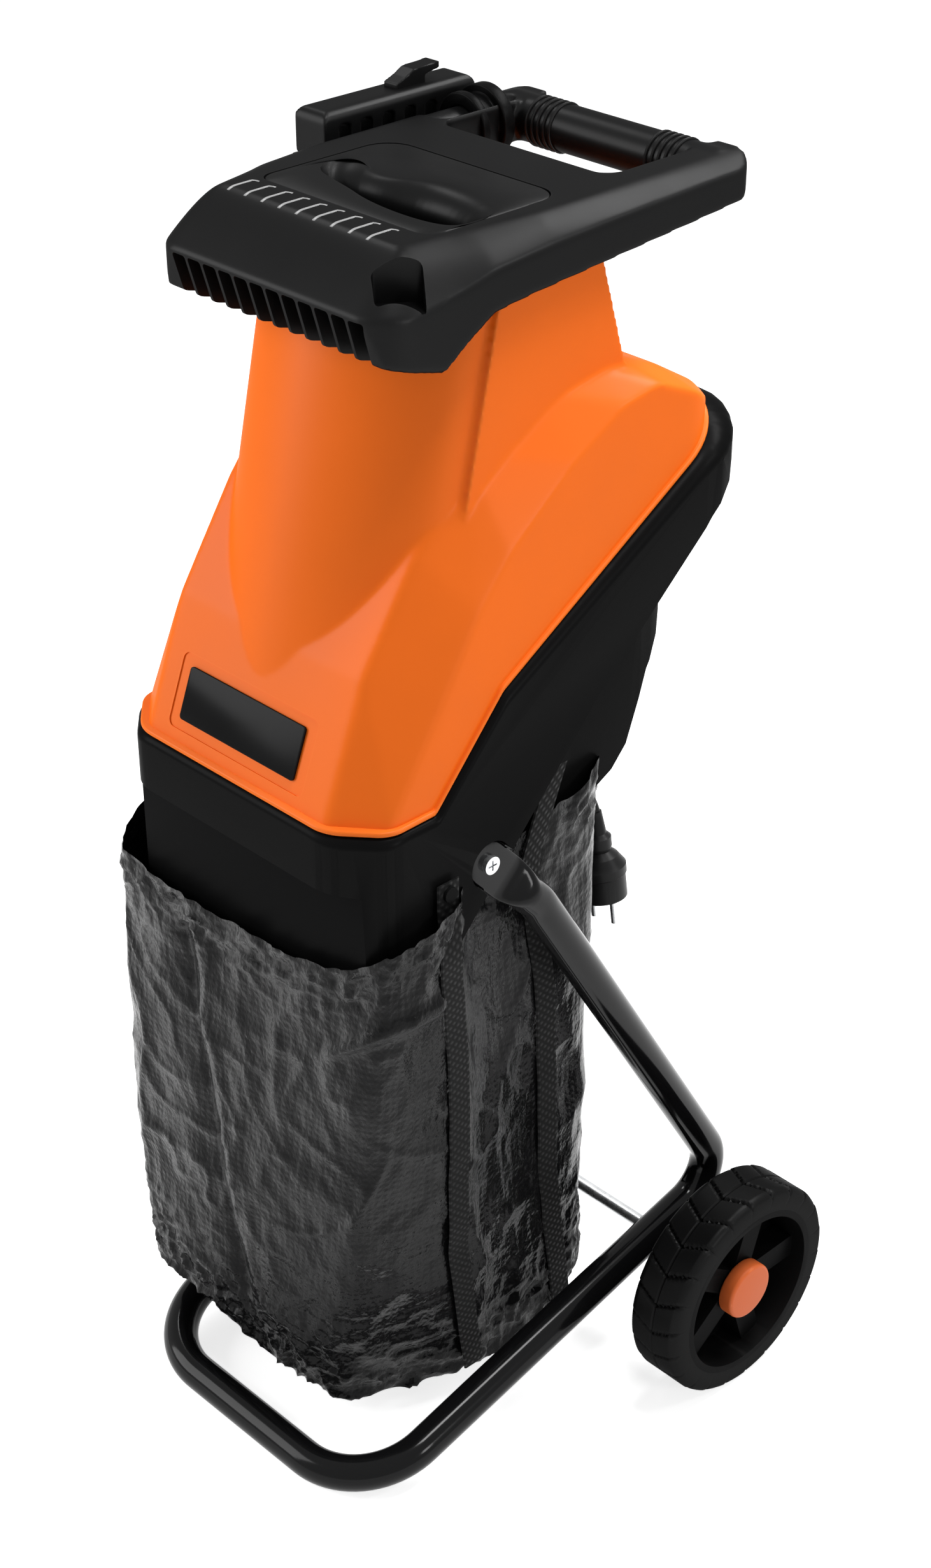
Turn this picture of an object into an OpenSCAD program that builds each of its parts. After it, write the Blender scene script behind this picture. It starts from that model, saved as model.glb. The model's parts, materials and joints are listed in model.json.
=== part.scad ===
/* [Wheels] */
// Wheel diameter over the tread
wheel_d = 160; // [140:1:180]
// Tyre width
tyre_w = 42; // [34:1:48]
// Distance between the outer faces of the tyres
track_w = 414; // [404:1:440]
// Diameter of the plastic rim inside the tyre
rim_d = 128; // [116:1:132]
// Diameter of the orange hub cap
hub_cap_d = 42; // [36:1:48]
// Axle rod diameter
axle_d = 10; // [8:0.5:12]

/* [Frame] */
// Distance from the front cross tube to the axle
frame_len = 285.5; // [270:0.5:300]
// Frame tube diameter
tube_d = 25; // [22:0.5:27]
// Frame tube wall
tube_wall = 1.5; // [1:0.1:2.5]
// Distance between the two rails, centre to centre
rail_gap = 230; // [226:1:240]
// Bend radius of the front corners, at the tube's centre
corner_r = 58; // [40:1:70]
// How far the rails run on behind the axle before they turn up
tail_len = 73; // [66:1:80]
// Bend radius behind the wheels, at the tube's centre
tail_r = 30; // [24:1:36]

/* [Head] */
// Height of the middle of the cutting plane above the floor
cut_h = 623; // [600:1:660]
// Tilt of the cutting plane
cut_tilt = 30; // [28:0.5:32]
// Width of the black lower housing
base_w = 236; // [228:1:244]
// Width of the orange upper housing
hood_w = 220; // [206:1:224]
// Wall of the moulded housings
shell_t = 3; // [2:0.1:3.6]
// Width of the motor cover
cover_w = 168; // [150:1:172]

/* [Hopper] */
// Width of the chute under the lid
chute_w = 184; // [176:1:190]
// Height of the lid above the middle of the cutting plane
lid_h = 234; // [225:1:250]
// Width of the lid
lid_w = 210; // [206:1:212]
// Wall of the lid
lid_t = 3.5; // [2.5:0.1:4.5]
// Diameter of the handle grip
grip_d = 30; // [26:1:34]
// Length of the feed slot
slot_w = 131; // [110:1:136]
// Width of the feed slot
slot_l = 30; // [24:1:34]
// Number of slits in the lid
slit_n = 9; // [5:1:9]
// Number of openings in the front grille
vane_n = 12; // [8:1:13]

/* [Cutter and motor] */
// Diameter of the cutting disc
disc_d = 184; // [170:1:190]
// Thickness of the cutting disc
disc_t = 8; // [5:0.5:9]
// Motor diameter
motor_d = 84; // [76:1:86]
// Motor shaft diameter
shaft_d = 12; // [10:0.5:14]
// Bearing outer diameter
bearing_d = 28; // [24:1:32]

/* [Pusher] */
// Width of the pusher
pusher_w = 127; // [110:1:130]
// Depth of the pusher's hollow head
pusher_t = 28; // [26:1:32]
// Thickness of the pusher's blade
blade_t = 15; // [11:0.5:16]
// Length of the pusher's blade below its head
blade_len = 174; // [150:1:176]

/* [Bag] */
// Width of the bag at its mouth
bag_w = 262; // [258:1:272]
// Height of the bag's bottom above the floor
bag_floor = 22; // [16:1:40]
// Wall of the bag
bag_t = 2; // [1.5:0.1:3]
// Width of the webbing straps
strap_w = 18; // [14:1:22]

/* [Lead] */
// Mains lead diameter
lead_d = 8; // [7:0.5:9]
// Plug diameter
plug_d = 37; // [34:0.5:39]

/* [Hidden] */
$fn = 64;

// Clearances
fit = 0.05;
ease = 0.3;
loose = 1;
seam = 0.4;
far = 600;
eps = 0.01;

// Colours
black = "#1b1b1c";
orange = "#f0731f";
steel = "#b9bcc0";
zinc = "#cfd2d4";
copper = "#b87333";

// Frame places
wheel_r = wheel_d / 2;
rail_x = rail_gap / 2;
axle_y = (frame_len + tube_d / 2 - wheel_r) / 2;
front_y = axle_y - frame_len;
rail_a = atan2(wheel_r - tube_d / 2, frame_len);
wheel_out = track_w / 2;
wheel_in = wheel_out - tyre_w;
hub_d = 34;
hub_set = 6;
hub_in = wheel_in + hub_set;
hub_recess = 11;
hub_out = wheel_out - hub_recess;
axle_tip = 7;
axle_end = hub_out + axle_tip;
nut_t = 5;
nut_d = axle_d * 1.9;
spacer_wall = 4;
cap_h = 10;
cap_wall = 1.5;
cap_room = 6;

// Head outline, seen from the side as [y, height above the cutting plane's middle]
cut_y = 20;
ramp_y0 = -104;
ramp_y1 = -48;
front_w = -100;
function seam_w(y) = (y - cut_y) * tan(cut_tilt);
seam_line = [[-far, front_w], [ramp_y0, front_w], [ramp_y1, seam_w(ramp_y1)], [far, seam_w(far)]];

// Underside of the lower housing, from the discharge mouth to the rear
mouth_w = -223;
under = [[-92, -203], [30, -71], [130, 17], [165, 40], [182, 68], [172, 88]];
under_a = atan2(under[2][1] - under[1][1], under[2][0] - under[1][0]);
function under_w(y) = under[1][1] + (y - under[1][0]) * tan(under_a);
throat_rise = (under[1][1] - under[0][1]) / (under[1][0] - under[0][0]);
function throat_w(y) = under[0][1] + (y - under[0][0]) * throat_rise;
tub_front = -152;
band_front = -168;
band_low = -139;
base_side = concat(
  [[tub_front, mouth_w], [under[0][0], mouth_w]], under,
  [[under[5][0], 150], [band_front, 150], [band_front, band_low], [tub_front - 2, band_low - 2]]
);
deck_h = -32;
deck_t = 4;
deck_v = -66;
deck_front_w = deck_v * sin(cut_tilt) + (deck_h - deck_t / 2) * cos(cut_tilt);
bulk_y = -22;
bulk_t = 4;
window = [[14, -104], [30, -85], [118, -6], [118, 11.5], [30, -62], [14, -79]];

// Motor cover, below the rear underside
cover_side = [
  [10, -155], [18, -166], [58, -170], [82, -158], [95, -144], [102, -125], [113, -96], [146, -48],
  [146, 27.5], [130, 17], [30, -71], [10, throat_w(10)]
];

// Frame pivot on the lower housing, and the tube's knee below it
pivot = [-61, cut_h - 152];
knee = [-18, cut_h - 199];
ear_r = 15;
ear_t = 8;
ear_in = rail_x - ear_t + 1;
pad_t = 8;
knee_r = 60;
pivot_screw_d = 6;
pivot_head = [12, 3.5];
cross_len = 7;
cross_w = 1.2;
cross_deep = 2;
pad_edge = 4;
pad_run = 14;
ear_run = 12;
flat_run = 9;
swage_run = 29;
leg_run = 26;

// Motor stack, measured along the motor's axis from the cutting plane
disc_top = -6;
flange_top = deck_h - deck_t;
flange_t = 10;
flange_d = motor_d + 20;
flange_screw_r = motor_d / 2 + 4.5;
flange_screw_d = 5;
flange_head = [8, 3];
shaft_room = 4;
can_vent = [6, 10];
end_vent = [10, 12];
fan_edge = 8;
fan_n = 9;
fan_disc = 2;
fan_hub = 12;
fan_blade = 2;
brush_w = 10;
can_t = 2;
fan_top = flange_top - flange_t - 1.5;
fan_t = 7;
stator_top = fan_top - fan_t - 3;
stator_len = 38;
arm_len = stator_len - 2;
arm_d = motor_d * 0.58;
com_len = 9;
com_d = 24;
end_top = stator_top - stator_len - com_len - 5;
end_t = 10;
bearing_t = 9;
boss_d = 44;

// Hood outlines seen from the side: the middle, and the two flat sides
hood_mid = [
  [-163, -130], [158, -40], [158, 80], [145, 93], [113, 112], [72, 130], [40, 135], [0, 128],
  [-46, 101], [-88, 51], [-130, -13], [-163, front_w]
];
hood_edge = [
  [-138, -130], [140, -40], [140, 80], [120, 99], [92, 112], [60, 108], [17, 87], [-40, 45],
  [-65, 17], [-96, -45], [-138, front_w]
];
hood_mid_x = 82;
lip_t = 3;
plate_mid = 35;
plate_x = -4;
plate_size = [106, 34];
plate_r = 2;
plate_t = 1.6;
plate_recess = [124, 48];
plate_sink = 0.8;
hook_x = 60;
hook_size = [20, shell_t, 30];
hook_in = 6;
hook_drop = 16;
hood_foot = hood_mid[11];
front_a = atan2(hood_mid[10][1] - front_w, hood_mid[10][0] - hood_foot[0]);

// Chute: a leaning half round front and flat sides
lean = 12.4;
chute_half = chute_w / 2 - 6;
chute_deep = 55;
chute_full = 1.8;
chute_steps = 20;
chute_nick = [4, 3];
chute_lap = 3;
lean_y = -76;
chute_top = lid_h - lid_t;
// The chute's front edge stays under the lid's sloping nose
chute_drop = 5;
chute_drop_y = -60;
function chute_y(w) = lean_y + w * tan(lean);
chute_rear = [112, -0.303];
chute_low = -60;
chute_start = -90;
chute_foot = -20;
chute_high = 260;

// Feed channel from the lid down to the disc
feed_y = -23;
feed_wall = 2;
feed_gap = 4;

// Lid
lid_low = [[-121, -57], [-84, -67], [-66, -54], [-46, -42], [-17, -39], [108, -30], [172, -25]];
lid_high = [[172, -2], [60, 0], [-66, 0], [-90, -5], [-112, -15], [-129, -30]];
lid_side = [for (p = concat(lid_low, lid_high)) [p[0], p[1] + lid_h]];
lid_front = -129;
lid_rear = 172;
arm_w = 35;
loop_x = lid_w / 2 - arm_w;
loop_y = 77;
grip_y = lid_rear - grip_d / 2;
grip_w = lid_h - 14;
deck_rear = 62;
panel_x = chute_w / 2 - 14;
panel_y0 = -71;
panel_y1 = 38;
panel_t = 2;
slit_pitch = 14.6;
slit_w = 2.4;
slit_y0 = -95;
slit_len = 21;
slit_x = -5;
grille_x = lid_w / 2 - 24;
grille_mid = 5;
grille_h = 20;
grille_drop = 52;
vane_t = 2.4;
pocket_at = [85, -106, lid_h - 28];
pocket_size = [27, 15, 40];
pocket_a = 39;
nose_x = lid_w / 2 - 4;
nose_y = -62;
lid_r = [20, 50, 26];
grip_ring_n = 5;
grip_ring = 5;
grip_ring_out = 0.6;
lid_slope = 17;
lid_edge = 13;

// Collar round the left arm of the handle
arm_x = -(lid_w / 2 + loop_x) / 2;
neck_y0 = 112;
neck_y1 = 138;
neck_r = 13;
collar_r = 21;

// Pusher parked in its holder on the left of the lid
park_x = -lid_w / 2 - 6;
park_y = 84.5;
holder_w = lid_h - 38;
holder_h = 15;
holder_t = 4;
head_h = 30;
blade_x = park_x - pusher_t / 2 - 5;

// Lock knob under the rear of the head
knob_y = 163;
knob_r = 15;
knob_len = 20;
knob_gap = 2;
screw_d = 8;

// Switch box on the left of the motor cover
switch_y = 36;
switch_w = -128;
switch_len = 52;
switch_h = 50;
switch_out = 20;
button_travel = 3;

// Bag outlines [x, y]: mouth and bottom
bag_x = bag_w / 2;
bag_waist = 99;
bag_mouth = [
  [[bag_x - 10, -157], [bag_x, -142], [bag_x, -95], [bag_waist, -70]],
  [[bag_waist, -100], [bag_waist, 58], [66, 82]]
];
bag_mid = [
  [[bag_x - 49, -151], [bag_x - 19, -126], [bag_x - 19, -93], [93, -66]],
  [[93, -100], [91, 62], [60, 87]]
];
bag_foot = [
  [[bag_x - 71, -147], [bag_x - 33, -119], [bag_x - 33, -92], [90, -62]],
  [[90, -100], [88, 64], [58, 88]]
];
bag_mid_z = 110;
bag_top = cut_h - 100;
rim = [
  [-157, cut_h - 216], [-115, cut_h - 177], [-56, cut_h - 177], [-30, cut_h - 159], [0, cut_h - 153],
  [52, cut_h - 139], [60, cut_h - 177], [90, cut_h - 180]
];

// Straps: a front and a rear pair, sewn to the bag and hung on pegs
strap_t = 1.5;
strap_low = 120;
peg_d = 5;
front_strap = [-100, cut_h - 153];
rear_strap = [12.5, cut_h - 109];
strap_over = 8;
strap_sink = 0.3;
peg_len = 6;
peg_head = [10, 2.5];
peg_back = 4;
rear_tab = [5, 10, 40];

// Lead route: gland root, gland tip, and the free stretch to the plug
gland_root = [15, 89, cut_h - 149];
gland_tip = [22, 98, 448];
lead_path = [gland_tip, [25, 103.5, 436], [28, 109, 424], [31, 114, 412], [34, 118, 402], [36, 119, 396]];
plug_end = [46, 119, 332];
pin_d = 4.8;
pin_len = 19;
pin_gap = 19;
plug_len = 64;
lead_sides = 10;
gland_neck = lead_d + 4;
gland_ends = [lead_d + 8, lead_d + 3];
gland_set = [-6, 2];

// Straight move up to the middle of the cutting plane
module head() translate([0, 0, cut_h]) children();

// Places children on the motor's axis, h above the cutting plane
module on_axis(h = 0)
  head() translate([0, cut_y, 0]) rotate([cut_tilt, 0, 0]) translate([0, 0, h]) children();

// Side outline [y, height] drawn across a width, centred on x
module across(pts, w) rotate([90, 0, 90]) linear_extrude(w, center = true) polygon(pts);

// Points of an outline with its corners rounded
function corner(a, b, c, r, n) =
  let (
    u = (a - b) / norm(a - b),
    v = (c - b) / norm(c - b),
    half = acos(max(-1, min(1, u * v))) / 2,
    m = b + (u + v) / norm(u + v) * r / sin(half),
    s = b + u * r / tan(half) - m,
    e = b + v * r / tan(half) - m,
    t0 = atan2(s[1], s[0]),
    d = atan2(e[1], e[0]) - t0,
    turn = d > 180 ? d - 360 : d < -180 ? d + 360 : d
  )
  [for (i = [0 : n]) m + r * [cos(t0 + turn * i / n), sin(t0 + turn * i / n)]];
function rounded(pts, rs, n = 6) = [
  for (i = [0 : len(pts) - 1])
    let (k = len(pts))
    each rs[i] > 0 ? corner(pts[(i + k - 1) % k], pts[i], pts[(i + 1) % k], rs[i], n) : [pts[i]]
];

// An outline drawn in by d, for a wall of that thickness
function edge_in(a, b, d) = let (t = (b - a) / norm(b - a)) [a + d * [-t[1], t[0]], t];
function meet(p, q) =
  let (k = p[1][0] * q[1][1] - p[1][1] * q[1][0], s = q[0] - p[0])
  abs(k) < 1e-6 ? q[0] : p[0] + p[1] * (s[0] * q[1][1] - s[1] * q[1][0]) / k;
function inset(pts, d) = let (k = len(pts)) [
  for (i = [0 : k - 1])
    meet(edge_in(pts[(i + k - 1) % k], pts[i], d), edge_in(pts[i], pts[(i + 1) % k], d))
];

// Both sides of a half outline
function both(pts) = concat(pts, [for (i = [len(pts) - 1 : -1 : 0]) [-pts[i][0], pts[i][1]]]);

// Everything above or below the seam between the two housings
function seam_up(d) = [for (p = seam_line) p + [0, d]];
module above_seam(d = 0) head() across(concat(seam_up(d), [[far, far], [-far, far]]), far);
module below_seam(d = 0) head() across(concat(seam_up(d), [[far, -far], [-far, -far]]), far);

// Aligns children's Z with the line from a to b
module along(a, b) {
  d = b - a;
  translate(a) rotate([0, acos(d[2] / norm(d)), atan2(d[1], d[0])]) children();
}

// Bent rod through points in its own XY plane; bends are a hair thinner and lap into the straights
lap = 1.5;
function toward(a, b) = (b - a) / norm(b - a);
function half_turn(a, b, c) = acos(toward(b, a) * toward(b, c)) / 2;
function bend_cut(a, b, c, r) = r / tan(half_turn(a, b, c));
module bent_rod(pts, rs, d, first = 0) {
  k = len(pts);
  function cut(i) = i == 0 || i == k - 1 ? 0 : bend_cut(pts[i - 1], pts[i], pts[i + 1], rs[i]) - lap;
  for (i = [first : k - 2]) {
    dir = toward(pts[i], pts[i + 1]);
    a = pts[i] + dir * cut(i);
    length = norm(pts[i + 1] - pts[i]) - cut(i) - cut(i + 1);
    translate([a[0], a[1], 0]) rotate([0, 0, atan2(dir[1], dir[0])]) rotate([0, 90, 0])
      cylinder(d = d, h = length);
  }
  for (i = [1 : 1 : k - 2]) {
    u = toward(pts[i], pts[i - 1]);
    v = toward(pts[i], pts[i + 1]);
    half = half_turn(pts[i - 1], pts[i], pts[i + 1]);
    run = rs[i] / tan(half);
    m = pts[i] + toward([0, 0], u + v) * rs[i] / sin(half);
    s = pts[i] + u * run - m;
    e = pts[i] + v * run - m;
    start = s[0] * e[1] - s[1] * e[0] > 0 ? s : e;
    translate([m[0], m[1], 0]) rotate([0, 0, atan2(start[1], start[0])])
      rotate_extrude(angle = 180 - 2 * half) translate([rs[i], 0]) circle(d / 2 - fit);
  }
}
module pipe(d, bore, h) difference() {
  cylinder(d = d, h = h);
  translate([0, 0, -1]) cylinder(d = bore, h = h + 2);
}
module mirrored() {
  children();
  mirror([1, 0, 0]) children();
}

// Frame: one bent tube with a low front loop and two legs with flattened ends
tail_pt = [axle_y + tail_len, tube_d / 2 + (frame_len + tail_len) * tan(rail_a)];
knee_dir = toward(knee, pivot);
leg_end = pivot - knee_dir * (ear_r + leg_run);
front_pt = [front_y, tube_d / 2];
rail_len = norm(tail_pt - front_pt) - bend_cut(front_pt, tail_pt, knee, tail_r) + lap;
module frame_rod(d) {
  translate([0, front_y, tube_d / 2]) rotate([rail_a, 0, 0])
    bent_rod(
      [[-rail_x, rail_len], [-rail_x, 0], [rail_x, 0], [rail_x, rail_len]], [0, corner_r, corner_r, 0], d
    );
  mirrored() translate([rail_x, 0, 0]) rotate([90, 0, 90])
    bent_rod([front_pt, tail_pt, knee, leg_end], [0, tail_r, knee_r, 0], d, 1);
}
module frame_tube() color(black) difference() {
  union() {
    frame_rod(tube_d);
    mirrored() {
      translate([ear_in, 0, 0]) rotate([90, 0, 90]) linear_extrude(ear_t) ear_shape(0, ear_r + ear_run);
      hull() {
        on_leg(ear_r + flat_run) translate([ear_in - rail_x + ease, -ear_r + ease, -1])
          cube([ear_t - 2 * ease, 2 * (ear_r - ease), 1]);
        on_leg(ear_r + swage_run) cylinder(d = tube_d - tube_wall, h = 1, $fn = 32);
      }
    }
  }
  frame_rod(tube_d - 2 * tube_wall);
  translate([0, axle_y, wheel_r]) rotate([0, 90, 0]) cylinder(d = axle_d + 2 * fit, h = far, center = true);
  translate([0, pivot[0], pivot[1]]) rotate([0, 90, 0])
    cylinder(d = pivot_screw_d + 2 * fit, h = far, center = true);
}

// Outline of the flattened tube end, and places along the leg below the pivot
module ear_shape(grow, run) union() {
  translate(pivot) circle(ear_r + grow);
  translate(pivot) rotate(atan2(-knee_dir[1], -knee_dir[0])) translate([0, -ear_r - grow])
    square([run, 2 * (ear_r + grow)]);
}
module on_leg(run) translate([rail_x, pivot[0] - knee_dir[0] * run, pivot[1] - knee_dir[1] * run])
  rotate([atan2(-knee_dir[0], knee_dir[1]), 0, 0]) children();

// Screws that hold the legs to the lower housing
module frame_screws() color(zinc) mirrored() translate([0, pivot[0], pivot[1]]) rotate([0, 90, 0]) {
  translate([0, 0, ear_in - pad_t]) cylinder(d = pivot_screw_d, h = pad_t + ear_t + eps);
  translate([0, 0, ear_in + ear_t]) difference() {
    cylinder(d = pivot_head[0], h = pivot_head[1]);
    for (a = [0, 90]) rotate([0, 0, a])
      translate([-cross_len / 2, -cross_w / 2, pivot_head[1] - cross_deep])
        cube([cross_len, cross_w, cross_deep + 1]);
  }
}

// Axle and what sits on it
module axle() color(steel) translate([0, axle_y, wheel_r]) rotate([0, 90, 0])
  cylinder(d = axle_d, h = 2 * axle_end, center = true);
spacer_x = rail_x + tube_d / 2;
module axle_spacers() color(black) mirrored() translate([spacer_x, axle_y, wheel_r]) rotate([0, 90, 0])
  pipe(axle_d + 2 * spacer_wall, axle_d + 2 * fit, hub_in - ease - spacer_x);
module axle_nuts() color(zinc) mirrored() translate([hub_out + ease, axle_y, wheel_r]) rotate([0, 90, 0])
  difference() {
    cylinder(d = nut_d, h = nut_t, $fn = 6);
    translate([0, 0, -1]) cylinder(d = axle_d, h = nut_t + 2);
  }

// Wheel: tyre with tread blocks, spoked rim, snap-in cap
tread_n = 26;
tread_t = 3;
tread_cut = 4;
tread_len = tyre_w * 0.4;
tyre_edge = 4;
rim_in = 8;
rim_t = 5;
web_t = 4;
spoke_n = 5;
spoke_w = 18;
spoke_a = 18;
spoke_r = hub_d / 2 - 5;
module tyre(side) color(black) wheel_place(side) difference() {
  rotate_extrude() polygon([
    [rim_d / 2, 0], [wheel_r - tyre_edge, 0], [wheel_r, tyre_edge], [wheel_r, tyre_w - tyre_edge],
    [wheel_r - tyre_edge, tyre_w], [rim_d / 2, tyre_w]
  ]);
  for (i = [0 : tread_n - 1], s = [0, 1])
    rotate([0, 0, (i + s / 2) * 360 / tread_n])
      translate([wheel_r - tread_t, -tread_cut / 2, s == 0 ? -1 : tyre_w - tread_len])
        cube([2 * tread_t, tread_cut, tread_len + 1]);
}
module wheel_place(side) translate([side * wheel_in, axle_y, wheel_r]) rotate([0, side * 90, 0]) children();
module rim(side) color(black) wheel_place(side) difference() {
  union() {
    rotate_extrude() polygon([
      [0, hub_set], [hub_d / 2, hub_set], [hub_d / 2, rim_in], [rim_d / 2 - rim_t, rim_in],
      [rim_d / 2 - rim_t, 0], [rim_d / 2, 0], [rim_d / 2, tyre_w], [rim_d / 2 - rim_t, tyre_w],
      [rim_d / 2 - rim_t, rim_in + web_t], [hub_d / 2, rim_in + web_t], [hub_d / 2, hub_out - wheel_in],
      [0, hub_out - wheel_in]
    ]);
    for (i = [0 : spoke_n - 1]) rotate([0, 0, i * 360 / spoke_n + spoke_a])
      translate([spoke_r, -spoke_w / 2, rim_in + 1])
        cube([rim_d / 2 - rim_t / 2 - spoke_r, spoke_w, hub_out - wheel_in - rim_in - 2]);
  }
  translate([0, 0, -1]) cylinder(d = axle_d + 2 * fit, h = far);
}
module hub_cap(side) color(orange) wheel_place(side) translate([0, 0, hub_out - wheel_in]) difference() {
  union() {
    cylinder(d = hub_cap_d, h = cap_h);
    translate([0, 0, cap_h]) cylinder(d1 = hub_cap_d, d2 = hub_cap_d - 2 * cap_wall, h = cap_wall);
  }
  translate([0, 0, -eps]) cylinder(d = nut_d + cap_room, h = cap_h - cap_wall);
}
module wheel_rim_left() rim(-1);
module wheel_rim_right() rim(1);
module tyre_left() tyre(-1);
module tyre_right() tyre(1);
module hub_cap_left() hub_cap(-1);
module hub_cap_right() hub_cap(1);

// Lower housing: the cutting chamber's floor, the discharge tub and the rim under the seam
base_x = base_w / 2;
base_nose = [30, 26];
base_r = [20, 30, 58];
mouth_edge = 20;
module base_plan(d) head() translate([0, 0, -far / 2]) linear_extrude(far) polygon(rounded(
  [
    [-base_x + d, band_front + d + base_nose[1]], [-base_x + base_nose[0] + d, band_front + d],
    [base_x - base_nose[0] - d, band_front + d], [base_x - d, band_front + d + base_nose[1]],
    [base_x - d, under[4][0] - d], [-base_x + d, under[4][0] - d]
  ],
  [base_r[0], base_r[1], base_r[1], base_r[0], base_r[2] - d, base_r[2] - d]
));
module base_solid(d) intersection() {
  head() across(d > 0 ? inset(base_side, d) : base_side, far);
  base_plan(d);
}
module lower_housing() color(black) difference() {
  union() {
    intersection() {
      below_seam();
      difference() {
        base_solid(0);
        base_solid(shell_t);
        head() translate([0, (tub_front + under[0][0]) / 2, mouth_w])
          cube([base_w - 2 * mouth_edge, under[0][0] - tub_front - 2 * shell_t, mouth_edge], center = true);
      }
    }
    intersection() {
      base_solid(shell_t / 2);
      on_axis(deck_h - deck_t) translate([-far / 2, deck_v, 0]) cube([far, far, deck_t]);
    }
    intersection() {
      base_solid(shell_t / 2);
      head() translate([-far / 2, bulk_y, -far]) cube([far, bulk_t, far + deck_front_w]);
    }
    mirrored() translate([ear_in - pad_t, 0, 0]) rotate([90, 0, 90]) linear_extrude(pad_t)
      ear_shape(pad_edge, pad_run);
  }
  mirrored() translate([ear_in, 0, 0]) rotate([90, 0, 90]) linear_extrude(far) ear_shape(loose, far);
  translate([0, pivot[0], pivot[1]]) rotate([0, 90, 0])
    cylinder(d = pivot_screw_d + 2 * fit, h = 2 * (ear_in + 1), center = true);
  head() across(window, cover_w - 2 * shell_t);
  on_axis(flange_top - 1) cylinder(d = boss_d + 2 * loose, h = deck_t + 2);
  for (a = [45 : 90 : 315]) on_axis(flange_top - 1) rotate([0, 0, a]) translate([flange_screw_r, 0, 0])
    cylinder(d = flange_screw_d + 2 * fit, h = deck_t + 2);
  knob_axis() translate([0, 0, -10]) cylinder(d = screw_d + 2 * loose, h = knob_reach + 20);
  for (x = [-1, 1], y = ear_ys) head() on_under(y) translate([x * cover_ear_x, 0, -1])
    cylinder(d = self_d + 2 * fit, h = 12);
}
module on_under(y) translate([0, y, under_w(y)]) rotate([under_a, 0, 0]) children();

// Motor cover, with four screwed ears
cover_x = cover_w / 2;
cover_ear_x = cover_x + 6;
ear_ys = [44, 108];
cover_ear = [14, 14, 4];
cover_r = [10, 40];

// Self-tapping screws of the cover and the lid
self_d = 4;
self_head = [8, 2.5];
self_len = 10;
module cover_plan(d) linear_extrude(far, center = true) polygon(rounded(
  [
    [-cover_x + d, cover_side[0][0] + d], [cover_x - d, cover_side[0][0] + d],
    [cover_x - d, cover_side[7][0] - d], [-cover_x + d, cover_side[7][0] - d]
  ],
  [cover_r[0], cover_r[0], cover_r[1] - d, cover_r[1] - d]
));
module cover_solid(d) intersection() {
  across(d > 0 ? inset(cover_side, d) : cover_side, far);
  cover_plan(d);
}
module motor_cover() color(black) difference() {
  head() {
    difference() {
      cover_solid(0);
      cover_solid(shell_t);
      across(window, cover_w - 2 * shell_t);
    }
    for (x = [-1, 1], y = ear_ys) on_under(y) translate([x * (cover_ear_x - 1), 0, -cover_ear[2] / 2])
      cube(cover_ear, center = true);
  }
  for (x = [-1, 1], y = ear_ys) head() on_under(y) translate([x * cover_ear_x, 0, -20])
    cylinder(d = self_d + 2 * fit, h = 40);
  along(gland_root, gland_tip) translate([0, 0, -10]) cylinder(d = gland_neck + 2 * fit, h = 30);
}
module cover_screws() color(zinc) for (x = [-1, 1], y = ear_ys) head() on_under(y)
  translate([x * cover_ear_x, 0, -cover_ear[2]]) {
    translate([0, 0, -self_head[1]]) cylinder(d = self_head[0], h = self_head[1]);
    translate([0, 0, -eps]) cylinder(d = self_d, h = self_len);
  }

// Motor, hung under the deck
module motor_flange() color(steel) on_axis(flange_top - flange_t) difference() {
  cylinder(d = flange_d, h = flange_t);
  translate([0, 0, flange_t - bearing_t]) cylinder(d = bearing_d, h = bearing_t + 1);
  translate([0, 0, -1]) cylinder(d = shaft_d + shaft_room, h = flange_t + 2);
  for (a = [45 : 90 : 315]) rotate([0, 0, a]) translate([flange_screw_r, 0, -1])
    cylinder(d = flange_screw_d + 2 * fit, h = flange_t + 2);
}
module flange_screws() color(zinc) for (a = [45 : 90 : 315])
  on_axis(flange_top - flange_t) rotate([0, 0, a]) translate([flange_screw_r, 0, 0]) {
    cylinder(d = flange_screw_d, h = flange_t + deck_t);
    translate([0, 0, -flange_head[1]]) cylinder(d = flange_head[0], h = flange_head[1]);
  }
module motor_can() color("#4b4e52") on_axis(end_top) difference() {
  cylinder(d = motor_d, h = flange_top - flange_t - end_top);
  translate([0, 0, -1]) cylinder(d = motor_d - 2 * can_t, h = far);
  for (a = [0 : 45 : 315]) rotate([0, 0, a]) translate([0, -can_vent[0] / 2, 3])
    cube([motor_d, can_vent[0], can_vent[1]]);
}
module motor_stator() color(copper) on_axis(stator_top - stator_len)
  pipe(motor_d - 2 * can_t, arm_d + 2, stator_len);
module motor_end_bracket() color(steel) on_axis(end_top - end_t) difference() {
  cylinder(d = motor_d, h = end_t);
  translate([0, 0, end_t - bearing_t]) cylinder(d = bearing_d, h = bearing_t + 1);
  for (a = [0 : 60 : 300]) rotate([0, 0, a]) translate([motor_d / 2 - end_vent[1], 0, -1])
    cylinder(d = end_vent[0], h = end_t + 2);
}
module brush_holders() color("#7a5b2e") on_axis(end_top) for (s = [0, 180]) rotate([0, 0, s])
  translate([com_d / 2 + 1, -brush_w / 2, 0]) cube([motor_d / 2 - can_t - com_d / 2 - 2, brush_w, com_len]);
module shaft_bearings() color(zinc) {
  on_axis(flange_top - bearing_t) pipe(bearing_d, shaft_d + 2 * fit, bearing_t);
  on_axis(end_top - bearing_t) pipe(bearing_d, shaft_d + 2 * fit, bearing_t);
}

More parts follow.
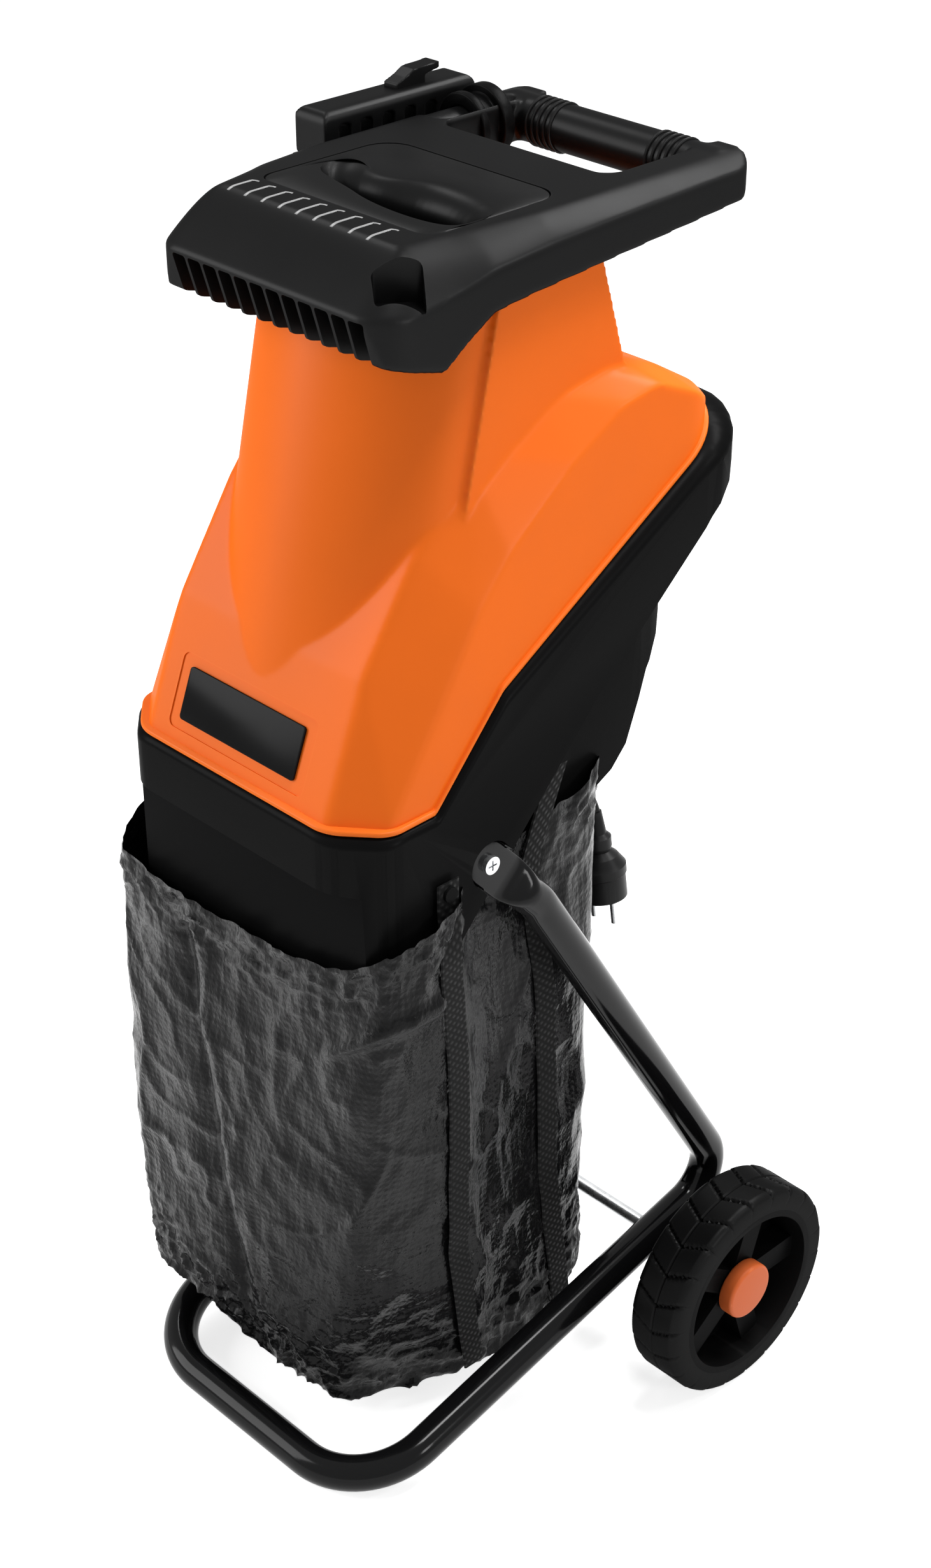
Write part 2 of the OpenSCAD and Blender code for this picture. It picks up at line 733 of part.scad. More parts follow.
// Everything that turns with the motor
module motor_shaft() color(steel) on_axis(end_top - bearing_t + 1)
  cylinder(d = shaft_d, h = disc_top - end_top + bearing_t - 1);
module armature() color(copper) on_axis(stator_top - stator_len + 1) pipe(arm_d, shaft_d, arm_len);
module commutator() color("#c58b52") on_axis(end_top + 1) pipe(com_d, shaft_d, com_len);
module cooling_fan() color(black) on_axis(fan_top - fan_t) difference() {
  union() {
    pipe(motor_d - fan_edge, shaft_d, fan_disc);
    pipe(shaft_d + fan_hub, shaft_d, fan_t);
    for (i = [0 : fan_n - 1]) rotate([0, 0, i * 360 / fan_n])
      translate([shaft_d / 2 + fan_hub / 3, -fan_blade / 2, 0])
        cube([motor_d / 2 - shaft_d / 2 - fan_hub / 3 - fan_edge / 2 - 1, fan_blade, fan_t]);
  }
  translate([0, 0, -1]) cylinder(d = shaft_d, h = fan_t + 2);
}
blade_slot = 7;
blade_r0 = 30;
blade_w = 30;
blade_h = 4.5;
blade_sink = 3;
blade_lip = 6;
blade_ease = 0.5;
blade_screw_d = 6;
blade_head = [10, 3];
blade_screw_x = [12, 36];
blade_screw_y = blade_w * 0.6;
blade_l = disc_d / 2 - blade_r0 - blade_lip;
hub_clear = 3;
module cutting_disc() color(steel) on_axis(disc_top - disc_t) difference() {
  union() {
    cylinder(d = disc_d, h = disc_t);
    translate([0, 0, flange_top - disc_top + disc_t + hub_clear])
      cylinder(d = boss_d - 8, h = disc_top - disc_t - flange_top - hub_clear + eps);
  }
  translate([0, 0, -far / 2]) cylinder(d = shaft_d, h = far);
  for (s = [0, 180]) rotate([0, 0, s]) {
    translate([blade_r0, -blade_slot, -1]) cube([blade_l, blade_slot, disc_t + 2]);
    translate([blade_r0, 0, disc_t - blade_sink]) cube([blade_l, blade_w, blade_sink + 1]);
    for (x = blade_screw_x) translate([blade_r0 + x, blade_screw_y, -1])
      cylinder(d = blade_screw_d + 2 * fit, h = disc_t + 2);
  }
}
module cutting_blades() color("#d9dbdd") on_axis(disc_top - blade_sink) for (s = [0, 180]) rotate([0, 0, s])
  difference() {
    translate([blade_r0, 0, 0]) intersection() {
      translate([blade_ease, -blade_sink, 0])
        cube([blade_l - 2 * blade_ease, blade_w + blade_sink - blade_ease, blade_h]);
      rotate([90, 0, 90]) linear_extrude(far) polygon([
        [-blade_sink, blade_h], [0, 0], [blade_w - blade_ease, 0], [blade_w - blade_ease, blade_h]
      ]);
    }
    for (x = blade_screw_x) translate([blade_r0 + x, blade_screw_y, -1])
      cylinder(d = blade_screw_d + 2 * fit, h = blade_h + 2);
  }
module blade_screws() color(zinc) on_axis(disc_top - disc_t) for (s = [0, 180], x = blade_screw_x)
  rotate([0, 0, s]) translate([blade_r0 + x, blade_screw_y, 0]) {
    translate([0, 0, -blade_head[1]]) cylinder(d = blade_head[0], h = blade_head[1]);
    cylinder(d = blade_screw_d, h = disc_t - blade_sink + blade_h);
  }
washer = [14, 2];
bolt_head = [6, 5];
module disc_bolt() color(zinc) on_axis(disc_top) {
  cylinder(d = shaft_d + washer[0], h = washer[1]);
  translate([0, 0, washer[1]]) cylinder(d = shaft_d + bolt_head[0], h = bolt_head[1], $fn = 6);
}

// Switch box with its buttons, on the left of the motor cover
module at_switch() head() translate([-cover_x, switch_y, switch_w]) children();
module switch_box() color(black) at_switch() difference() {
  translate([-switch_out, 0, 0]) cube([switch_out, switch_len, switch_h]);
  translate([-switch_out + shell_t, shell_t, shell_t])
    cube([switch_out, switch_len - 2 * shell_t, switch_h - 2 * shell_t]);
  for (b = buttons) translate([-switch_out - 1, b[0], b[1]]) rotate([0, 90, 0])
    cylinder(d = b[2] + 2 * ease, h = shell_t + 2);
}
buttons = [[15, 32, 15], [37, 32, 15], [26, 12, 9]];
button_len = shell_t + button_travel + 1;
button_rim = [4, 2];
module button(b, c) color(c) at_switch() translate([-switch_out - button_travel - 1, b[0], b[1]])
  rotate([0, 90, 0]) {
    cylinder(d = b[2], h = button_len);
    translate([0, 0, button_len + ease]) cylinder(d = b[2] + button_rim[0], h = button_rim[1]);
    translate([0, 0, button_len - 1]) cylinder(d = b[2] - 2, h = button_rim[1] + 1);
  }
module start_button() button(buttons[0], "#1f8f3a");
module stop_button() button(buttons[1], "#c41f1f");
module reset_button() button(buttons[2], "#2a2a2c");
safety_at = [16, 128, 0];
safety_size = [20, 12, 14];
module safety_switch() color("#3a3d40") on_axis(deck_h) translate(safety_at) cube(safety_size);

// Lock knob: its screw stands square to the seam and reaches the insert in the upper housing
knob_rise = (under[3][1] - under[2][1]) / (under[3][0] - under[2][0]);
knob_w = under[2][1] + (knob_y - under[2][0]) * knob_rise;
knob_reach = (seam_w(knob_y) - knob_w) * cos(cut_tilt);
flute_n = 8;
flute_r = 5;
insert_d = 14;
insert_len = 9;
insert_boss = [22, 30];
module knob_axis() head() translate([0, knob_y, knob_w]) rotate([cut_tilt, 0, 0]) children();
module lock_knob() color(black) knob_axis() translate([0, 0, -knob_gap]) {
  difference() {
    translate([0, 0, -knob_len]) cylinder(r = knob_r, h = knob_len);
    for (i = [0 : flute_n - 1]) rotate([0, 0, i * 360 / flute_n]) translate([knob_r + 3, 0, -knob_len - 1])
      cylinder(r = flute_r, h = knob_len + 2);
  }
  translate([0, 0, -eps]) cylinder(d = screw_d, h = knob_reach + knob_gap + 8);
}
module lock_insert() color("#b08d3c") knob_axis() translate([0, 0, knob_reach + seam + 1])
  pipe(insert_d, screw_d + 2 * loose, insert_len);

// Upper housing: hood over the disc, leaning chute and the hooks it tilts on
module hood_solid(d) head() hull() {
  across(d > 0 ? inset(hood_mid, d) : hood_mid, 2 * hood_mid_x);
  across(d > 0 ? inset(hood_edge, d) : hood_edge, hood_w - 2 * d);
}
function bow(x, y) = [
  for (i = [0 : chute_steps])
    let (a = 180 + i * 180 / chute_steps, c = cos(a), s = sin(a), e = 2 / chute_full)
    [sign(c) * x * pow(abs(c), e), -y * pow(abs(s), e)]
];
module chute_round(d) {
  x = chute_half - d;
  back = chute_lap + 1 + d;
  translate([0, lean_y, 0]) rotate([-lean, 0, 0]) translate([0, 0, chute_start]) linear_extrude(far)
    polygon(concat(bow(x, chute_deep - d), [[x, back], [-x, back]]));
}
module chute_solid(d) head() intersection() {
  union() {
    chute_round(d);
    across(
      [
        [chute_y(chute_foot) + chute_lap + d, chute_foot], [chute_rear[0] - d - 8, chute_foot],
        [chute_rear[0] - d, 0], [chute_rear[0] - d + chute_high * chute_rear[1], chute_high],
        [chute_y(chute_high) + chute_lap + d, chute_high]
      ],
      chute_w - 2 * d
    );
  }
  rotate([90, 0, 0]) linear_extrude(far, center = true) polygon(both([
    [chute_w / 2 - d, chute_low], [chute_w / 2 - d, chute_top - chute_nick[1] + 4 * d],
    [chute_w / 2 - chute_nick[0] - d, chute_top + 4 * d]
  ]));
}
module upper_housing() color(orange) difference() {
  union() {
    difference() {
      union() {
        hood_solid(0);
        chute_solid(0);
      }
      hood_solid(shell_t);
      chute_solid(shell_t);
      below_seam(seam);
    }
    difference() {
      intersection() {
        base_solid(2);
        above_seam(seam);
        below_seam(seam + lip_t);
      }
      hood_solid(shell_t);
    }
    for (x = [-1, 1]) head()
      translate([x * hook_x - hook_size[0] / 2, hood_foot[0] + hook_in, front_w - hook_drop])
        cube(hook_size);
    intersection() {
      for (p = lid_screw_at) head() translate([p[0] - lug_w / 2, p[1] - lug_w / 2, chute_top - lug_t])
        cube([lug_w, lug_w, lug_t]);
      chute_solid(0);
    }
    intersection() {
      knob_axis() translate([0, 0, knob_reach]) cylinder(d = insert_boss[0], h = insert_boss[1]);
      hood_solid(shell_t / 2);
      above_seam(seam);
    }
  }
  for (p = lid_screw_at) head() translate([p[0], p[1], chute_top - lug_t - 1])
    cylinder(d = self_d + 2 * fit, h = lug_t + 2);
  head() translate([-far, chute_drop_y - far, chute_top - chute_drop]) cube([2 * far, far, far]);
  on_front() translate([-plate_recess[0] / 2, -plate_recess[1] / 2, -plate_sink])
    cube([plate_recess[0], plate_recess[1], 4]);
  knob_axis() translate([0, 0, knob_reach - 10]) cylinder(d = screw_d + 2 * loose, h = 22);
  knob_axis() translate([0, 0, knob_reach + seam + 1]) cylinder(d = insert_d, h = insert_len);
}

// Sloped front face, with Z square to it
module on_front() head()
  translate([plate_x, hood_foot[0] + plate_mid * cos(front_a), front_w + plate_mid * sin(front_a)])
    rotate([front_a, 0, 0]) children();
function tile(size, r) = rounded(
  [
    [-size[0] / 2, -size[1] / 2], [size[0] / 2, -size[1] / 2], [size[0] / 2, size[1] / 2],
    [-size[0] / 2, size[1] / 2]
  ],
  [r, r, r, r]
);
module name_plate() color("#0c0c0d") on_front() translate([0, 0, -plate_sink])
  linear_extrude(plate_t) polygon(tile(plate_size, plate_r));

// Feed channel hung under the lid, ending just above the disc
sleeve_t = 1.5;
sleeve_len = 24;
channel_t = sleeve_t + ease + feed_wall;
channel_w = slot_w + 2 * channel_t;
channel_l = slot_l + 2 * channel_t;
channel_low = -80;
flange_edge = 6;
flange_l = 64;
flange_h = 3;
module feed_channel() color(black) difference() {
  union() {
    head() translate([-channel_w / 2, feed_y - channel_l / 2, channel_low])
      cube([channel_w, channel_l, chute_top - channel_low]);
    intersection() {
      head() translate([-panel_x + flange_edge, feed_y - flange_l / 2, chute_top - flange_h])
        cube([2 * (panel_x - flange_edge), flange_l, flange_h]);
      chute_solid(shell_t + loose);
    }
  }
  head() translate([-channel_w / 2 + feed_wall, feed_y - channel_l / 2 + feed_wall, -far])
    cube([channel_w - 2 * feed_wall, channel_l - 2 * feed_wall, 2 * far]);
  on_axis(disc_top + feed_gap - far) translate([-far / 2, -far / 2, 0]) cube([far, far, far]);
}

// Lid with its grille, slits and handle loop
lid_x = lid_w / 2;
vane_pitch = 2 * grille_x / vane_n;
grille_x0 = grille_mid - grille_x + vane_t / 2;
slot_room = [4, 6];
lid_drops = [20, 50];
nose_back = (lid_low[0][0] - lid_front) / (lid_high[5][1] - lid_low[0][1]);
module lid_plan(d) linear_extrude(2 * far, center = true) polygon(rounded(
  [
    [lid_x - d, lid_rear - d], [-lid_x + d, lid_rear - d], [-lid_x + d, nose_y],
    [-nose_x + d, lid_front + d], [nose_x - d, lid_front + d], [lid_x - d, nose_y]
  ],
  [lid_r[0], lid_r[0], lid_r[1], lid_r[2], lid_r[2], lid_r[1]]
));
module lid_cross(d) rotate([90, 0, 0]) linear_extrude(2 * far, center = true) polygon([
  [-lid_x + d, 0], [lid_x - d, 0], [lid_x - d, lid_h - lid_edge],
  [lid_x - lid_slope - d / 2, lid_h + 2 - d], [-lid_x + lid_slope + d / 2, lid_h + 2 - d],
  [-lid_x + d, lid_h - lid_edge]
]);
module lid_solid(d) intersection() {
  across(d > 0 ? inset(lid_side, d) : lid_side, 2 * far);
  lid_plan(d);
  lid_cross(d);
}
module hopper_lid() color(black) difference() {
  head() {
    difference() {
      lid_solid(0);
      lid_hollow();
      translate([-loop_x, loop_y, 0]) cube([2 * loop_x, far, far]);
      translate([0, 0, lid_h - panel_t]) linear_extrude(20) polygon(panel_outline(ease));
      translate([-slot_w / 2 - slot_room[0], feed_y - slot_l / 2 - slot_room[1], lid_h - 20])
        cube([slot_w + 2 * slot_room[0], slot_l + 2 * slot_room[1], 40]);
      for (i = [0 : slit_n - 1])
        translate([slit_x + (i - (slit_n - 1) / 2) * slit_pitch - slit_w / 2, slit_y0, lid_h - 30])
          cube([slit_w, slit_len, 60]);
      for (i = [0 : vane_n - 1])
        translate([grille_x0 + i * vane_pitch, lid_front - 10, lid_h - grille_drop])
          cube([vane_pitch - vane_t, 24, grille_h]);
      translate([-lid_x - 1, neck_y0, 0]) cube([lid_x - loop_x + 1, neck_y1 - neck_y0, far]);
      translate(pocket_at) rotate([0, 0, pocket_a]) translate([-pocket_size[0] / 2, -pocket_size[1] / 2, 0])
        cube(pocket_size);
    }
    translate([arm_x, neck_y0 - 1, grip_w]) rotate([-90, 0, 0])
      cylinder(r = neck_r, h = neck_y1 - neck_y0 + 2);
    translate([0, grip_y, grip_w]) rotate([0, 90, 0])
      cylinder(d = grip_d, h = 2 * loop_x + 10, center = true);
    for (s = [-1, 1], i = [2 : grip_ring_n + 1]) translate([s * (loop_x - i * grip_ring), grip_y, grip_w])
      rotate([0, 90, 0]) cylinder(d = grip_d + 2 * grip_ring_out, h = grip_ring * 0.4, center = true);
  }
  for (p = lid_screw_at) head() translate([p[0], p[1], 0]) cylinder(d = self_d + 2 * fit, h = lid_h - 0.6);
}
module lid_hollow() intersection() {
  union() {
    lid_solid(lid_t);
    for (drop = lid_drops) translate([0, drop * nose_back, -drop]) lid_solid(lid_t);
  }
  translate([-far, -far, 0]) cube([2 * far, far + deck_rear, chute_top]);
}
lug_t = 8;
lug_w = 12;
lid_screw_at = [for (x = [-1, 1], y = [20, 36]) [x * (chute_w / 2 - 8), y]];
module lid_screws() color(zinc) for (p = lid_screw_at) head() translate([p[0], p[1], chute_top - lug_t]) {
  translate([0, 0, -self_head[1]]) cylinder(d = self_head[0], h = self_head[1]);
  cylinder(d = self_d, h = lug_t + lid_t - 1);
}
panel_r = 18;
function panel_outline(d) = rounded(
  [
    [-panel_x - d, panel_y0 - d], [panel_x + d, panel_y0 - d],
    [panel_x + d, panel_y1 + d], [-panel_x - d, panel_y1 + d]
  ],
  [panel_r, panel_r, panel_r, panel_r]
);
module feed_panel() color(black) head() difference() {
  union() {
    translate([0, 0, lid_h - panel_t]) linear_extrude(panel_t) polygon(panel_outline(0));
    translate([-slot_w / 2 - sleeve_t, feed_y - slot_l / 2 - sleeve_t, chute_top - sleeve_len])
      cube([slot_w + 2 * sleeve_t, slot_l + 2 * sleeve_t, sleeve_len + lid_t]);
  }
  translate([-slot_w / 2, feed_y - slot_l / 2, 0]) cube([slot_w, slot_l, far]);
}

// Two-flanged collar clipped round the left arm
collar_len = neck_y1 - neck_y0 - 2 * ease;
collar_ring = 6;
collar_step = 3.5;
collar_big = [2, 9];
module arm_collar() color(black) head() translate([arm_x, neck_y0 + ease, grip_w]) rotate([-90, 0, 0])
  difference() {
    union() {
      cylinder(r = collar_r, h = collar_ring);
      cylinder(r = collar_r - collar_step, h = collar_len);
      translate([0, 0, collar_len - collar_big[1]])
        cylinder(r = collar_r + collar_big[0], h = collar_big[1]);
    }
    translate([0, 0, -1]) cylinder(r = neck_r + fit, h = far);
  }

// Pusher and its holder
head_wall = 3;
head_low = holder_w + holder_h + seam;
park_y0 = park_y - pusher_w / 2;
blade_wide = pusher_w - 2 * head_wall;
holder_x = blade_x - blade_t / 2 - loose - holder_t;
head_slot = [9.5, 18];
head_slot_n = 6;
head_slot_pitch = 18;
head_slot_y = 12;
clip_w = 12;
clip_side = [[88, 0], [112, 0], [112, 5], [124, 7], [124, 11], [102, 10], [96, 6], [88, 3]];
module pusher_holder() color(black) head() difference() {
  translate([holder_x, park_y0, holder_w]) cube([-lid_x - holder_x, pusher_w, holder_h]);
  translate([holder_x + holder_t, park_y0 + head_wall - loose, holder_w - 1])
    cube([blade_t + 2 * loose, blade_wide + 2 * loose, holder_h + 2]);
  translate([arm_x - collar_r - 3, neck_y0, holder_w - 1]) cube([far, neck_y1 - neck_y0, holder_h + 2]);
}
module pusher() color(black) head() {
  difference() {
    translate([park_x - pusher_t, park_y0, head_low]) cube([pusher_t, pusher_w, head_h]);
    translate([park_x - pusher_t + head_wall, park_y0 + head_wall, head_low + head_wall])
      cube([pusher_t - 2 * head_wall, blade_wide, head_h - 2 * head_wall]);
    for (i = [0 : head_slot_n - 1])
      translate([park_x - pusher_t - 1, park_y0 + head_slot_y + i * head_slot_pitch, head_low + head_wall])
        cube([pusher_t + 2, head_slot[0], head_slot[1]]);
  }
  translate([blade_x - blade_t / 2, park_y0 + head_wall, head_low - blade_len])
    cube([blade_t, blade_wide, blade_len + 1]);
}
module pusher_hook() color(black) head()
  translate([park_x - pusher_t / 2 - clip_w / 2, 0, head_low + head_h])
    rotate([90, 0, 90]) linear_extrude(clip_w) polygon(clip_side);

// Bag with an open mouth, its straps and the hooks that carry them
bag_split = -60;
function shrink(pts, d) = [for (p = pts) [p[0] - d, p[1] + (p[1] < bag_split ? d : -d)]];
module bag_form(d) for (k = [0, 1]) hull() {
  translate([0, 0, bag_floor + d]) linear_extrude(1) polygon(both(shrink(bag_foot[k], d)));
  translate([0, 0, bag_mid_z]) linear_extrude(1) polygon(both(shrink(bag_mid[k], d)));
  translate([0, 0, bag_top]) linear_extrude(1) polygon(both(shrink(bag_mouth[k], d)));
}
module bag() color("#131314") difference() {
  bag_form(0);
  bag_form(bag_t);
  across(concat([[-far, rim[0][1]]], rim, [[far, rim[len(rim) - 1][1]], [far, far], [-far, far]]), far);
}

// A strap follows the bag's side, then runs on to its peg
function side_x(low, high, z) = low + (high - low) * (z - bag_mid_z) / (bag_top - bag_mid_z);
module strap(at, low, high, edge, top_x) {
  foot = [side_x(low, high, strap_low) - strap_sink, strap_low];
  lip = [side_x(low, high, edge) - strap_sink, edge];
  bend = [top_x, at[1] - strap_over];
  top = [top_x, at[1] + strap_over];
  difference() {
    translate([0, at[0] + strap_w / 2, 0]) rotate([90, 0, 0]) linear_extrude(strap_w) polygon([
      foot, foot + [strap_t, 0], lip + [strap_t, 0], bend + [strap_t, 0], top + [strap_t, 0], top, bend, lip
    ]);
    translate([top_x - 5, at[0], at[1]]) rotate([0, 90, 0]) cylinder(d = peg_d + 2 * fit, h = 20);
  }
}
front_peg_x = base_x + 2;
rear_peg_x = 101;
module bag_straps() color("#0f0f10") mirrored() {
  strap(front_strap, bag_mid[0][2][0], bag_mouth[0][2][0], rim[1][1], front_peg_x);
  strap(rear_strap, bag_mid[1][0][0] - 1.2, bag_waist, rim[4][1], rear_peg_x);
}
module peg(x, at, d, h) translate([x, at[0], at[1]]) rotate([0, 90, 0]) cylinder(d = d, h = h);
module strap_hooks() color(black) mirrored() difference() {
  union() {
    peg(base_x, front_strap, peg_d, peg_len);
    peg(front_peg_x + strap_t + ease, front_strap, peg_head[0], peg_head[1]);
    peg(rear_peg_x - peg_back, rear_strap, peg_d, 2 * peg_back);
    peg(rear_peg_x - peg_back, rear_strap, peg_head[0], peg_head[1]);
    translate([rear_peg_x + strap_t + ease, rear_strap[0], rear_strap[1]])
      translate([0, -rear_tab[1] / 2, -rear_tab[1] / 2]) cube(rear_tab);
  }
  base_solid(0);
}

// Mains lead with its gland and plug
module cord_gland() color(black) along(gland_root, gland_tip) {
  translate([0, 0, gland_set[0]]) cylinder(d = gland_neck, h = gland_set[1] - gland_set[0]);
  translate([0, 0, gland_set[1]])
    cylinder(d1 = gland_ends[0], d2 = gland_ends[1], h = norm(gland_tip - gland_root) - gland_set[1]);
}
function ring(p, t) =
  let (a = cross(t, [0, 1, 0]), u = a / norm(a), v = cross(t, u))
  [
    for (k = [0 : lead_sides - 1])
      let (q = k * 360 / lead_sides)
      p + lead_d / 2 * (cos(q) * u + sin(q) * v)
  ];
module mains_lead() {
  n = len(lead_path);
  function dir(i) = let (d = lead_path[min(i + 1, n - 1)] - lead_path[max(i - 1, 0)]) d / norm(d);
  pts = [for (i = [0 : n - 1]) each ring(lead_path[i], dir(i))];
  s = lead_sides;
  quads = [for (i = [0 : n - 2], k = [0 : s - 1]) each [
    [i * s + k, i * s + (k + 1) % s, (i + 1) * s + (k + 1) % s],
    [i * s + k, (i + 1) * s + (k + 1) % s, (i + 1) * s + k]
  ]];
  caps = [[for (k = [s - 1 : -1 : 0]) k], [for (k = [0 : s - 1]) (n - 1) * s + k]];
  color(black) polyhedron(pts, concat(quads, caps));
}
module at_plug() along(lead_path[len(lead_path) - 1], plug_end) children();
sleeve_r = lead_d / 2;
plug_r = plug_d / 2;
plug_side = [
  [0, 0], [sleeve_r + 1, 0], [sleeve_r + 3, 16], [sleeve_r + 6, 19], [sleeve_r + 6, 26], [sleeve_r + 5, 29],
  [plug_r - 5, 33], [plug_r, 40], [plug_r, 46], [plug_r - 1, 47], [plug_r - 1, plug_len], [0, plug_len]
];
module plug() color(black) at_plug() rotate_extrude() polygon(plug_side);
module plug_pins() color(zinc) at_plug() for (s = [-1, 1]) translate([s * pin_gap / 2, 0, plug_len])
  cylinder(d = pin_d, h = pin_len);

frame_tube();
frame_screws();
axle();
axle_spacers();
axle_nuts();
wheel_rim_left();
wheel_rim_right();
tyre_left();
tyre_right();
hub_cap_left();
hub_cap_right();
lower_housing();
motor_cover();
cover_screws();
motor_flange();
motor_can();
motor_stator();
motor_end_bracket();
brush_holders();
shaft_bearings();
flange_screws();
motor_shaft();
armature();
commutator();
cooling_fan();
cutting_disc();
cutting_blades();
blade_screws();
disc_bolt();
switch_box();
start_button();
stop_button();
reset_button();
safety_switch();
lock_knob();
lock_insert();
upper_housing();
name_plate();
feed_channel();
hopper_lid();
feed_panel();
lid_screws();
arm_collar();
pusher_holder();
pusher();
pusher_hook();
bag();
bag_straps();
strap_hooks();
cord_gland();
mains_lead();
plug();
plug_pins();
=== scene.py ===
import json
import math
import bpy
import bmesh
import numpy as np
from mathutils import Matrix, Vector


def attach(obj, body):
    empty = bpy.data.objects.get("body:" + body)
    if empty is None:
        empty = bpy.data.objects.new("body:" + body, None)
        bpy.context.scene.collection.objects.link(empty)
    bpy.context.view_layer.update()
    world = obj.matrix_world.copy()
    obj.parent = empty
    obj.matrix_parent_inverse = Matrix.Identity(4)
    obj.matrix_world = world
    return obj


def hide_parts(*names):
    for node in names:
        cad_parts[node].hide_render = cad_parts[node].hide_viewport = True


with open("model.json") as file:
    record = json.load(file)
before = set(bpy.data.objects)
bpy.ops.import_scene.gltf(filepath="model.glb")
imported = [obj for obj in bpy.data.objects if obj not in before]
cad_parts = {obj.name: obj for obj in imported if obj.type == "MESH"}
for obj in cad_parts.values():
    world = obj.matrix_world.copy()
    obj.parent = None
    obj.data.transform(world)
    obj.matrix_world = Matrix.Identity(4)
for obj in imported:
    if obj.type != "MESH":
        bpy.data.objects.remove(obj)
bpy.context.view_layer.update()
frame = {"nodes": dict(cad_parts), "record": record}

scene = bpy.context.scene
nodes = frame["nodes"]
mm = 0.001
cutHeight = 623  # middle of the cutting plane above the floor
cutY = 20
cutTilt = math.radians(30)

# Camera at the photograph's angle, tall frame
camera = dict(place=(1.06069, -0.99584, 1.32684), tip=90 - 31.03, turn=45.91, lens=59.83, film=36)


def putIn(name, data):
    obj = bpy.data.objects.new(name, data)
    scene.collection.objects.link(obj)
    return obj


def setCamera():
    data = bpy.data.cameras.new("camera")
    data.sensor_fit = "VERTICAL"
    data.sensor_height = camera["film"]
    data.lens = camera["lens"]
    data.clip_end = 60
    scene.camera = putIn("camera", data)
    scene.camera.location = camera["place"]
    scene.camera.rotation_euler = (math.radians(camera["tip"]), 0, math.radians(camera["turn"]))


setCamera()
print("camera set")


# Small helpers for meshes
def headPoint(x, y, w):
    return (x * mm, y * mm, (cutHeight + w) * mm)


def addMesh(name, verts, faces):
    mesh = bpy.data.meshes.new(name)
    mesh.from_pydata([tuple(v) for v in verts], [], faces)
    return putIn(name, mesh)


def editMesh(mesh, work):
    bm = bmesh.new()
    bm.from_mesh(mesh)
    work(bm)
    bm.to_mesh(mesh)
    bm.free()


def outward(obj):
    editMesh(obj.data, lambda bm: bmesh.ops.recalc_face_normals(bm, faces=bm.faces))
    return obj


def bake(obj):
    graph = bpy.context.evaluated_depsgraph_get()
    mesh = bpy.data.meshes.new_from_object(obj.evaluated_get(graph))
    obj.modifiers.clear()
    old = obj.data
    obj.data = mesh
    mesh.name = obj.name
    bpy.data.meshes.remove(old)
    return obj


# Quads between rings of points that follow one another
def bandFaces(rows, ring, closed=False, first=0):
    faces = []
    for i in range(rows if closed else rows - 1):
        a, b = first + i * ring, first + (i + 1) % rows * ring
        faces += [[a + k, a + (k + 1) % ring, b + (k + 1) % ring, b + k] for k in range(ring)]
    return faces


def box(x0, y0, x1, y1):
    return [(x0, y0), (x1, y0), (x1, y1), (x0, y1)]


def prism(name, outline, low, high, plane):
    order = {"yw": (2, 0, 1), "xy": (0, 1, 2), "xw": (0, 2, 1)}[plane]
    n = len(outline)
    corners = [(a, b, t) for t in (low, high) for a, b in outline]
    verts = [headPoint(*(c[k] for k in order)) for c in corners]
    faces = [list(range(n)), list(range(n, 2 * n))] + bandFaces(2, n)
    return outward(addMesh(name, verts, faces))


def block(name, low, high):
    return prism(name, box(*low[:2], *high[:2]), low[2], high[2], "xy")


def rod(name, a, b, radius):
    a, b = Vector(a), Vector(b)
    turn = (b - a).to_track_quat("Z", "Y").to_matrix()
    sides = 48
    ring = [2 * math.pi * k / sides for k in range(sides)]
    ring = [turn @ Vector((radius * math.cos(t), radius * math.sin(t), 0)) for t in ring]
    verts = [headPoint(*(mid + v)) for mid in (a, b) for v in ring]
    faces = [list(range(sides)), list(range(sides, 2 * sides))] + bandFaces(2, sides)
    return outward(addMesh(name, verts, faces))


def combine(obj, other, how):
    mod = obj.modifiers.new("join", "BOOLEAN")
    mod.operation = how
    mod.object = other
    mod.solver = "MANIFOLD"
    bake(obj)
    mesh = other.data
    bpy.data.objects.remove(other)
    bpy.data.meshes.remove(mesh)
    return obj


def cut(obj, other):
    return combine(obj, other, "DIFFERENCE")


def add(obj, other):
    return combine(obj, other, "UNION")


def share(obj, other):
    return combine(obj, other, "INTERSECT")


def soften(obj, grain, rounds):
    remesh = obj.modifiers.new("grid", "REMESH")
    remesh.mode = "VOXEL"
    remesh.voxel_size = grain * mm
    smooth = obj.modifiers.new("round", "SMOOTH")
    smooth.factor = 0.5
    smooth.iterations = rounds
    return bake(obj)


def roundEdges(obj, width, steps=3, angle=32):
    bevel = obj.modifiers.new("edge", "BEVEL")
    bevel.width = width * mm
    bevel.segments = steps
    bevel.limit_method = "ANGLE"
    bevel.angle_limit = math.radians(angle)
    bake(obj)
    return shade(obj)


def shade(obj, angle=40):
    mesh = obj.data
    mesh.polygons.foreach_set("use_smooth", [True] * len(mesh.polygons))
    mesh.set_sharp_from_angle(angle=math.radians(angle))
    mesh.update()
    return obj


